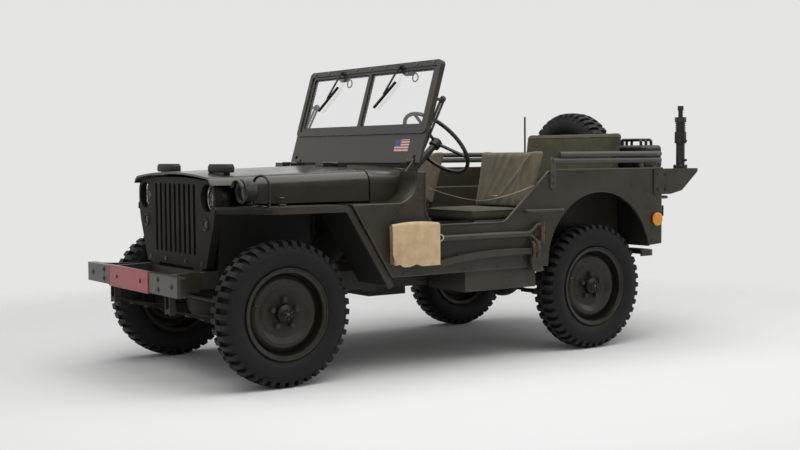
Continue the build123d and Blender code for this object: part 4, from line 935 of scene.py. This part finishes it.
# Controls: a thin-rimmed black steering wheel with a horn button, and levers and pedals in black paint.
# Five dials in bright rims and a row of knobs are set in the steel dash.
coat(black, "steering_wheel", "control_levers", "pedals")
column = math.radians(42)
helm = Vector((0.020, 0.370, 1.188))
toward_driver = Vector((-math.cos(column), 0, math.sin(column)))
button = bmesh.new()
button_outline = ((0.0135, 0.0), (0.0135, 0.024), (0.019, 0.024), (0.022, 0.021), (0.023, 0.016),
                  (0.0255, 0.012), (0.027, 0.0))
lathe(button, button_outline, helm, toward_driver, 28)
finished("horn_button", button, black, "steering_wheel", "black_plastic")
dial_face = worn_and_shaded_finish("dial_face", (0.012, 0.012, 0.012), (0.03, 0.03, 0.03, 1), 0.3, dust=0.15)
pointer_paint = worn_and_shaded_finish("dial_marks", (0.55, 0.55, 0.50), (0.7, 0.7, 0.66, 1), 0.5, dust=0.1)
dash_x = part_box("cowl")[0][0] + 0.005
needle_turn = 0.7
# Dials: (y, z, radius)
dial_table = ((0.02, 0.985, 0.042), (0.115, 0.990, 0.028), (-0.075, 0.990, 0.028), (0.115, 0.945, 0.024),
              (-0.075, 0.945, 0.024))
rims, faces, marks = bmesh.new(), bmesh.new(), bmesh.new()


def dial_mark(spot, turn, near, far, lift, width):
    """A painted bar on a dial, pointing out from its middle at a turn from upright."""
    way = Vector((0, math.sin(turn), math.cos(turn)))
    band(marks, [spot + Vector((-lift, 0, 0)) + way * reach for reach in (near, far)], forward, 0.0005, width)


for y, z, radius in dial_table:
    spot = Vector((dash_x, y, z))
    rim_in = radius - 0.004
    rim_outline = ((-0.001, rim_in), (0.004, rim_in), (0.005, radius - 0.002), (0.004, radius),
                   (-0.001, radius), (-0.001, rim_in))
    lathe(rims, rim_outline, spot, (-1, 0, 0), 28)
    face = radius - 0.003
    lathe(faces, ((-0.0005, 0.0), (-0.0005, face), (0.001, face), (0.001, 0.0)), spot, (-1, 0, 0), 28)
    for tick in range(9):
        dial_mark(spot, math.radians(-120 + 30 * tick), 0.62 * radius, 0.80 * radius, 0.0013, 0.0016)
    dial_mark(spot, needle_turn, -0.15 * radius, 0.6 * radius, 0.0016, 0.0018)
finished("dial_rims", rims, bare, "chassis", "bare_steel")
finished("dial_faces", faces, dial_face, "chassis", "black_plastic")
finished("dial_marks", marks, pointer_paint, "chassis", "reflector", smooth=False)
knobs = [((dash_x, y, 0.925), (-1, 0, 0)) for y in (0.20, 0.24, -0.14, -0.18, -0.22)]
bolts("dash_knobs", knobs, "chassis", black, "black_plastic", radius=0.009, height=0.026, sides=14,
      washer=0.012, taper=1.2)


# Seats: padded canvas cushions on tube frames, slack canvas over the front backs, and a firm boxed back on
# the bench. The cushions and the bench back are piped along an upper edge, and the front backs hang in folds.
weave_group, start, end = group("weave", (("Scale", 150.0), ("Warp", 1.0)), ("Height", "Tone"))
place = here(weave_group)
stretched = add(weave_group, "TexNoise", Vector=place, Scale=18.0, Detail=4.0).outputs["Fac"]
threads = []
for axis in "XYZ":
    wave = add(weave_group, "TexWave", {"bands_direction": axis}, Vector=place, Scale=start.outputs["Scale"],
               Distortion=0.6, Detail=1.0)
    threads.append(wave.outputs["Fac"])
crossing = 0.0
for first, second in ((0, 1), (1, 2), (2, 0)):
    crossed = calc(weave_group, "MULTIPLY", threads[first], threads[second])
    crossing = calc(weave_group, "ADD", crossing, crossed)
weave_tone = calc(weave_group, "ADD", calc(weave_group, "MULTIPLY", crossing, 0.05), stretched)
weave_group.links.new(calc(weave_group, "MULTIPLY", crossing, start.outputs["Warp"]), end.inputs["Height"])
weave_group.links.new(weave_tone, end.inputs["Tone"])


def cloth_finish(name, tone, scale=150.0, fade=1.35, dust=0.15, bump=0.3):
    """Woven cotton canvas: threads, uneven dye, soiled hollows darkened also as painted shade, and sun-faded
    ridges.
    """
    material, tree, out = blank(name)
    weave = place_group(tree, weave_group, Scale=scale)
    wear_and_shade = place_group(tree, wear_and_shade_group, Width=0.012, Scale=7.0)
    dust_mask = place_group(tree, dust_group, Amount=dust, Scale=8.0)["Mask"]
    dye = ramp(tree, weave["Tone"], 0.22, 0.88)
    base = mix(tree, dye, shade_of(tone, 0.72), shade_of(tone, fade))
    # Painted shade mixed with soil in the hollows.
    base = lay_over(tree, base, wear_and_shade["Grime_and_shade"], 0.55, shade_of(tone, 0.35))
    base = lay_over(tree, base, wear_and_shade["Edge"], 0.5, tuple(min(c * 1.9, 0.8) for c in tone) + (1,))
    base = mix(tree, dust_mask, base, tuple((c + d) / 2 for c, d in zip(tone, dust_tone)) + (1,))
    raised = add(tree, "Bump", Strength=bump, Distance=0.0007, Height=weave["Height"])
    surface(tree, out, Base_Color=base, Roughness=0.88, Normal=raised.outputs[0], Sheen_Weight=0.15,
            Sheen_Roughness=0.5)
    return material


canvas = cloth_finish("olive_canvas", (0.055, 0.052, 0.022))
faded_canvas = cloth_finish("faded_canvas", (0.140, 0.118, 0.076))
piping = cloth_finish("canvas_piping", (0.090, 0.085, 0.050), scale=260.0)


def hexahedron(corners_low, corners_high):
    """A closed six-sided block from its four lower and four upper corners."""
    shape = bmesh.new()
    low = [shape.verts.new(corner) for corner in corners_low]
    high = [shape.verts.new(corner) for corner in corners_high]
    shape.faces.new(low[::-1])
    shape.faces.new(high)
    for index in range(4):
        shape.faces.new([low[index], low[(index + 1) % 4], high[(index + 1) % 4], high[index]])
    bmesh.ops.recalc_face_normals(shape, faces=shape.faces)
    return shape


def upright_block(low, high):
    """A closed block between two corners."""
    square = ((low.x, low.y), (high.x, low.y), (high.x, high.y), (low.x, high.y))
    return hexahedron([(x, y, low.z) for x, y in square], [(x, y, high.z) for x, y in square])


def pad_block(name, shape, soft, voxel):
    """A rounded block, remeshed evenly, ready to be filled."""
    bmesh.ops.bevel(shape, geom=list(shape.edges), offset=soft, segments=3, affect="EDGES", profile=0.5)
    mesh = bpy.data.meshes.new(name)
    shape.to_mesh(mesh)
    shape.free()
    source = placed(name + "_block", mesh)
    change = source.modifiers.new("even", "REMESH")
    change.mode = "VOXEL"
    change.voxel_size = voxel
    return plain(name, source)


def fill_pads(pads, pressure, frames=20):
    """Blow the pads up together as cloth, cap how far each point moves, and keep the result."""
    for pad, cap, rest in pads:
        cloth = pad.modifiers.new("fill", "CLOTH")
        cloth.settings.use_pressure = True
        cloth.settings.uniform_pressure_force = pressure
        cloth.settings.effector_weights.gravity = 0
        cloth.settings.quality = 4
        cloth.settings.tension_stiffness = 12
        cloth.settings.compression_stiffness = 12
        cloth.settings.bending_stiffness = 0.4
        cloth.collision_settings.use_collision = False
        cloth.point_cache.frame_start = 1
        cloth.point_cache.frame_end = frames
    for step in range(1, frames + 1):
        scene.frame_set(step)
    shaped = bpy.context.evaluated_depsgraph_get()
    for pad, cap, rest in pads:
        moved = [vert.co.copy() for vert in pad.evaluated_get(shaped).data.vertices]
        pad.modifiers.clear()
        for vert, spot in zip(pad.data.vertices, moved):
            move = spot - vert.co
            if move.length > cap:
                move *= cap / move.length
            vert.co += move
            if rest is not None:
                vert.co.z = max(vert.co.z, rest)
    scene.frame_set(1)


def dress_pad(pad, finish, slot, replaced):
    """Cover a filled pad in cloth, refine it and let it ride on the chassis in place of the solids it stands
    for.
    """
    pad.data.materials.clear()
    pad.data.materials.append(finish)
    pad.data.shade_smooth()
    finer = pad.modifiers.new("finer", "SUBSURF")
    finer.levels = finer.render_levels = 1
    settle(pad, "chassis", slot, replaced)


def hump(place, middle, width):
    """A smooth bump of height 1 round a middle."""
    return math.exp(-(((place - middle) / width) ** 2))


seat_y, seat_half, seat_rear = 0.445, 0.215, -0.355
seat_foot, seat_top = 0.7703, 0.829
bench_foot, bench_rise, bench_lean = 0.930, 0.326, 0.048
inset = 0.004
pads = {}
# Blocks: (name, low corner, high corner, edge radius)
blocks = [(name, (seat_rear, y - seat_half, seat_foot), (0.0, y + seat_half, seat_top), 0.010)
          for name, y in (("seat_cushion_left", seat_y), ("seat_cushion_right", -seat_y))]
blocks += [
    ("bench_cushion", (-1.235, -0.430, 0.8503), (-0.940, 0.430, 0.925), 0.016),
    ("bench_back", (-1.3395, -0.420, bench_foot), (-1.262, 0.420, bench_foot + bench_rise), 0.020),
]
for name, low, high, soft in blocks:
    low, high = Vector(low) + Vector((inset, inset, 0.0)), Vector(high) - Vector((inset, inset, inset))
    pads[name] = (pad_block(name, upright_block(low, high), soft, 0.010), 0.0065, low.z)
for vert in pads["bench_back"][0].data.vertices:
    vert.co.x -= bench_lean * (vert.co.z - bench_foot) / bench_rise
back_foot, back_rise = 0.822, 0.320
back_in, back_out = 0.236, 0.262
# Ends of a front back: (z, front x, rear x)
back_ends = ((back_foot, -0.367, -0.391), (back_foot + back_rise, -0.425, -0.489))
for side, name in ((1, "seat_back_left"), (-1, "seat_back_right")):
    near, far = sorted((side * (seat_y - back_in), side * (seat_y + back_out)))
    rows = [[(rear, near, z), (front, near, z), (front, far, z), (rear, far, z)]
            for z, front, rear in back_ends]
    pads[name] = (pad_block(name, hexahedron(*rows), 0.012, 0.0085), 0.010, None)
fill_pads(list(pads.values()), 3.5)

# Folds in the slack backs: (place across at the top, at the bottom, height, width), outer edge at 1
folds = ((0.98, 0.34, 0.0085, 0.030), (0.94, 0.56, 0.0080, 0.026), (0.86, 0.72, 0.0065, 0.024),
         (0.62, 0.22, 0.0055, 0.034), (0.46, 0.14, 0.0050, 0.026), (0.30, 0.20, 0.0045, 0.030),
         (0.72, 0.86, 0.0050, 0.022))
middle_x, middle_lean, sag_depth = -0.379, 0.078, 0.008
for side, name in ((1, "seat_back_left"), (-1, "seat_back_right")):
    for vert in pads[name][0].data.vertices:
        across = (side * vert.co.y - seat_y + back_in) / (back_in + back_out)
        up = (vert.co.z - back_foot) / back_rise
        front = 1.0 if vert.co.x > middle_x - middle_lean * up else -0.4
        rise = 0.0
        for top, bottom, height, width in folds:
            rise += height * hump(across, bottom + (top - bottom) * up, width) * (0.35 + 0.65 * up)
        sag = math.sin(math.pi * min(max(up, 0), 1)) * math.sin(math.pi * min(max(across, 0), 1))
        vert.co.x += rise - sag_depth * sag if front > 0 else rise * front
for name, (pad, cap, rest) in pads.items():
    slack = "seat_back" in name
    dress_pad(pad, faded_canvas if slack else canvas, "canvas",
              "seat_backs" if "back" in name else "seat_cushions")


def edge_piping(name, pad, level, radius):
    """A piped seam round a pad at one height, taken from the pad's own outline."""
    shape = bmesh.new()
    shape.from_mesh(pad.data)
    whole = list(shape.verts) + list(shape.edges) + list(shape.faces)
    cut = bmesh.ops.bisect_plane(shape, geom=whole, plane_co=(0, 0, level), plane_no=(0, 0, 1))
    ring = [item.co.copy() for item in cut["geom_cut"] if isinstance(item, bmesh.types.BMVert)]
    shape.free()
    middle = sum(ring, Vector()) / len(ring)
    ring.sort(key=lambda spot: math.atan2(spot.y - middle.y, spot.x - middle.x))
    return tube(name, ring[::3], radius, piping, "chassis", "canvas", cyclic=True)


seam_levels = {"seat_cushion_left": 0.819, "seat_cushion_right": 0.819, "bench_cushion": 0.915,
               "bench_back": 1.226}
for name, level in seam_levels.items():
    edge_piping(name + "_piping", pads[name][0], level, 0.0042)


# Door strap: a flat webbing belt hung across the left doorway, hooked at the pillar and at the quarter.
# It is a little slack, with one small brass slide on it.
webbing = cloth_finish("tan_webbing", (0.17, 0.135, 0.075), scale=300.0)
brass = worn_and_shaded_finish("worn_brass", (0.42, 0.30, 0.13), (0.62, 0.48, 0.26, 1), 0.35, dust=0.2, metallic=0.8)
strap_y = 0.731
strap_route = ((0.368, strap_y, 0.9635), (0.118, strap_y, 0.882), (-0.138, strap_y, 0.880),
               (-0.3933, strap_y, 0.9565))
strap_curve = curve_through("door_strap", strap_route)
strap_curve.twist_mode = "Z_UP"
strap_curve.extrude = 0.0076
strap_curve.bevel_depth = 0.0013
strap_curve.bevel_resolution = 2
strap_curve.splines[0].resolution_u = 16
for point in strap_curve.splines[0].points:
    point.tilt = math.radians(90)
strap_curve.materials.append(webbing)
door_strap = placed("door_strap", strap_curve)
settle(door_strap, "chassis", "webbing", "safety_strap")
slide = bmesh.new()
slide_foot, slide_top = 0.9012, 0.9062
for x, half in ((-0.082, 0.0022), (-0.108, 0.0022), (-0.095, 0.0016)):
    slab(slide, (x - half, 0.7215, slide_foot), (x + half, 0.7405, slide_top), 0.001)
for y in (0.7222, 0.7398):
    slab(slide, (-0.110, y - 0.0018, slide_foot), (-0.080, y + 0.0018, slide_top), 0.001)
strap_slide = finished("strap_slide", slide, brass, "chassis", "bare_steel")
eyes = bmesh.new()
slab(eyes, (0.360, 0.722, 0.945), (0.366, 0.7405, 0.985), 0.002)
slab(eyes, (-0.404, 0.7385, 0.938), (-0.372, 0.7425, 0.968), 0.002)
finished("strap_eyes", eyes, olive, "chassis", "olive_paint")


# Tools: a shovel with a forked wooden grip and an axe, painted olive and carried on the left side. Steel
# brackets take their ends, and two webbing straps with wire buckles hold them to the body.
rubbed_tools = (0.13, 0.122, 0.10, 1)
coat(worn_and_shaded_finish("shovel_paint", olive_tone, rubbed_tools, 0.46, dust=0.25, patches=(
    ({"X": (-0.44, -0.398), "Z": (0.652, 0.732)}, (0.105, 0.045, 0.022), 0.5),
)), "shovel")
coat(worn_and_shaded_finish("axe_paint", olive_tone, rubbed_tools, 0.40, dust=0.25, patches=(
    ({"X": (-0.43, -0.318), "Z": (0.47, 0.500)}, (0.055, 0.052, 0.047), 0.35),
)), "axe")
dark_webbing = cloth_finish("dark_webbing", (0.045, 0.032, 0.018), scale=300.0)
tool_y, strap_z = 0.762, 0.600


def strap_loop(shape, x, z, reach_z, reach_y, width, thick=0.0026):
    """A strap round a tool: out from the body, over the tool and back."""
    inner = skin_y + 0.001
    foot = inner + 0.004
    run = tool_y + reach_y - foot
    path = [(x, inner, z - reach_z - 0.012), (x, foot, z - reach_z - 0.004)]
    for step in range(9):
        angle = -math.pi / 2 + math.pi * step / 8
        path.append((x, foot + run * max(math.cos(angle), 0.0) ** 0.6, z + reach_z * math.sin(angle)))
    path += [(x, foot, z + reach_z + 0.004), (x, inner, z + reach_z + 0.012)]
    band(shape, path, (1, 0, 0), width, thick)


def buckle(shape, x, z, spread, rise, near_y, far_y, half):
    """A wire buckle facing the side: two level bars and two upright ones."""
    for way in (1, -1):
        level = z + way * rise
        slab(shape, (x - spread, near_y, level - half), (x + spread, far_y, level + half), 0.001)
        upright = x + way * spread
        slab(shape, (upright - half, near_y, z - rise - half),
             (upright + half, far_y, z + rise + half), 0.001)


straps, buckles = bmesh.new(), bmesh.new()
buckle_y = tool_y + 0.022
for x, buckle_shift in ((-0.340, 0.006), (-0.372, -0.006)):
    strap_loop(straps, x, strap_z, 0.054, 0.018, 0.020)
    buckle(buckles, x, strap_z + buckle_shift, 0.013, 0.012, buckle_y - 0.002, buckle_y + 0.0015, 0.0018)
finished("tool_straps", straps, dark_webbing, "chassis", "webbing")
finished("strap_buckles", buckles, rust, "chassis", "bare_steel")
clamp = bmesh.new()
slab(clamp, (-0.448, skin_y + 0.0005, 0.676), (-0.372, skin_y + 0.0045, 0.708), 0.0015)
slab(clamp, (-0.446, skin_y + 0.003, 0.684), (-0.438, tool_y + 0.002, 0.700), 0.0015)
finished("grip_clamp", clamp, rust, "chassis", "bare_steel")


# Bag: a tan canvas satchel hung over the shovel blade, with one broad flap over its front.
# The flap's top edge is arched, one lower corner is folded under, and its bottom edge is notched and creased.
tan = cloth_finish("tan_canvas", (0.66, 0.485, 0.275), scale=170.0, fade=1.12, dust=0.05)
bag_low, bag_high = (Vector(corner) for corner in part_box("canvas_bag"))
bag_low.x += 0.008
bag_high.x += 0.012
low, high = bag_low + Vector((0.010, 0.0025, 0.012)), bag_high - Vector((0.010, 0.013, 0.016))
bag = pad_block("satchel", upright_block(low, high), 0.011, 0.008)
fill_pads([(bag, 0.009, None)], 2.5)
for vert in bag.data.vertices:
    vert.co.y = max(vert.co.y, bag_low.y + 0.0004)
dress_pad(bag, tan, "tan_canvas", "canvas_bag")

flap_columns, flap_rows = 60, 44
flap = bmesh.new()
grid = []
width, drop = bag_high.x - bag_low.x - 0.004, bag_high.z - bag_low.z - 0.006
# Creases in the flap: (place across at the bottom, at the top, strongest height, rise, width)
creases = ((0.16, 0.10, 0.30, 0.0035, 0.035), (0.42, 0.52, 0.10, 0.0040, 0.030),
           (0.60, 0.55, 0.85, 0.0028, 0.040), (0.78, 0.88, 0.55, 0.0026, 0.045))
for row in range(flap_rows + 1):
    v = row / flap_rows
    line = []
    for column in range(flap_columns + 1):
        u = column / flap_columns
        notch = 0.050 * hump(u, 0.47, 0.085) + 0.012 * hump(u, 0.15, 0.10)
        arch = 0.010 * math.sin(math.pi * u)
        bottom, top = notch * 0.235 / drop, 1.0 - (0.010 - arch) / drop
        height = bottom + (top - bottom) * v
        tuck = max(0.0, (0.20 - u) / 0.20) * max(0.0, (0.30 - v) / 0.30)
        x = bag_high.x - 0.002 - u * width - 0.020 * tuck
        z = bag_low.z + 0.003 + height * drop + 0.030 * tuck
        bulge = 0.010 * max(math.sin(math.pi * u), 0.0) ** 0.7 * math.sin(math.pi * (0.15 + 0.8 * v)) ** 0.7
        rise = sum(lift * hump(u, low_u + (high_u - low_u) * v, spread) * (1 - 0.6 * abs(v - strong))
                   for low_u, high_u, strong, lift, spread in creases)
        roll = max(0.0, (v - 0.93) / 0.07) ** 2
        y = bag_high.y - 0.0115 + bulge + rise - 0.010 * tuck - 0.012 * roll
        line.append(flap.verts.new((x, y, z)))
    grid.append(line)
for row, after in zip(grid, grid[1:]):
    for column in range(flap_columns):
        flap.faces.new([row[column], after[column], after[column + 1], row[column + 1]])
mesh = bpy.data.meshes.new("satchel_flap")
bmesh.ops.recalc_face_normals(flap, faces=flap.faces)
flap.to_mesh(mesh)
flap.free()
mesh.materials.append(tan)
mesh.shade_smooth()
satchel_flap = placed("satchel_flap", mesh)
thick = satchel_flap.modifiers.new("thick", "SOLIDIFY")
thick.thickness = 0.0022
settle(satchel_flap, "chassis", "tan_canvas")
hem = bmesh.new()
hem_y, hem_bow = bag_high.y - 0.030, 0.004
hem_levels = ((bag_low.z + 0.02, 0.0), ((bag_low.z + bag_high.z) / 2, hem_bow), (bag_high.z - 0.02, 0.0))
for x in (bag_low.x + 0.004, bag_high.x - 0.004):
    band(hem, [(x, hem_y + bow, z) for z, bow in hem_levels], (0, 1, 0), 0.020, 0.003)
finished("satchel_edges", hem, webbing, "chassis", "webbing")
loop_route = ((0.300, 0.775, 0.715), (0.286, 0.778, 0.712), (0.280, 0.780, 0.698), (0.286, 0.778, 0.684),
              (0.300, 0.775, 0.680))
pale_cord = cloth_finish("pale_cord", (0.55, 0.50, 0.42), scale=300.0)
tube("satchel_loop", loop_route, 0.0035, pale_cord, "chassis", "webbing")


# Tail: a pressed fuel can strapped in its tray, tail lamps with small red glasses, round amber reflectors on
# the quarters, and a jointed mast base bolted on a corner bracket.
coat(worn_and_shaded_finish("can_paint", (0.011, 0.011, 0.0108), (0.08, 0.078, 0.072, 1), 0.36, dust=0.3), "jerrycan")
coat(worn_and_shaded_finish("mast_paint", (0.019, 0.0175, 0.0145), (0.10, 0.095, 0.085, 1), 0.42, dust=0.3), "mast_base")
coat(worn_and_shaded_finish("rear_lamp_paint", olive_tone, rubbed_tools, 0.42, dust=0.15, patches=(
    ({"X": (-1.43, -1.4235), "Z": (0.672, 0.728)}, (0.16, 0.008, 0.006), 0.12),
)), "rear_lamps")
hoop_outline = ((-0.010, 0.0362), (0.0020, 0.0370), (0.0035, 0.0345), (0.0030, 0.0280), (0.0, 0.0275),
                (-0.010, 0.0362))
hoops = bmesh.new()
for side in (1, -1):
    lathe(hoops, hoop_outline, (tail_x - 0.042, side * 0.645, 0.700), (-1, 0, 0), 32)
finished("lamp_hoops", hoops, olive, "chassis", "olive_paint")


def facets(tree):
    """Small pressed prisms in reflector glass."""
    return add(tree, "TexVoronoi", {"feature": "F1"}, Vector=here(tree), Scale=210.0).outputs["Distance"]


amber = worn_and_shaded_finish("amber_glass", (0.80, 0.29, 0.008), (0.85, 0.40, 0.05, 1), 0.14, dust=0.06, bump=0.35,
                    edge=0.2, relief=facets)
reflector_outline = ((-0.006, 0.0), (-0.006, 0.0372), (0.0, 0.0400), (0.0030, 0.0395), (0.0042, 0.0370),
                     (0.0060, 0.0300), (0.0078, 0.0150), (0.0082, 0.0))
reflectors = bmesh.new()
for side in (1, -1):
    spot = (-1.325, side * (skin_y + 0.012), 0.734)
    lathe(reflectors, reflector_outline, spot, (0, side, 0), 36)
finished("amber_reflectors", reflectors, amber, "chassis", "reflector")
can_low, can_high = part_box("jerrycan")
strap_gap, can_corner = 0.0022, 0.024
strap_low = (can_low[0] - strap_gap, can_low[1] - strap_gap)
strap_high = (can_high[0] + strap_gap, can_high[1] + strap_gap)
can_straps, can_buckles = bmesh.new(), bmesh.new()
for z in (0.86, 1.06):
    route = [(x, y, z) for x, y in rounded_ring(strap_low, strap_high, can_corner + strap_gap)]
    band(can_straps, route, (0, 0, 1), 0.028, 0.0026, closed=True)
    buckle(can_buckles, can_low[0] + 0.076, z, 0.016, 0.017, can_high[1] + 0.002, can_high[1] + 0.006, 0.002)
finished("can_straps", can_straps, dark_webbing, "chassis", "webbing")
finished("can_buckles", can_buckles, bare, "chassis", "bare_steel")
bracket = [((x, skin_y + 0.008, z), (0, 1, 0)) for x in (-1.335, -1.40) for z in (0.91, 1.0)]
bolts("bracket_bolts", bracket, "chassis", olive, "olive_paint", radius=0.009, height=0.007, washer=0.014)
mast_spot = Vector((-1.575, 0.700, 1.048))
foot_circle = 0.034
foot = [(mast_spot + Vector((foot_circle * math.cos(turn), foot_circle * math.sin(turn), 0.0)), (0, 0, 1))
        for turn in (0.8, 2.4, 3.9, 5.5)]
bolts("mast_foot_bolts", foot, "chassis", bare, "bare_steel", radius=0.0055, height=0.006, washer=0.0075)
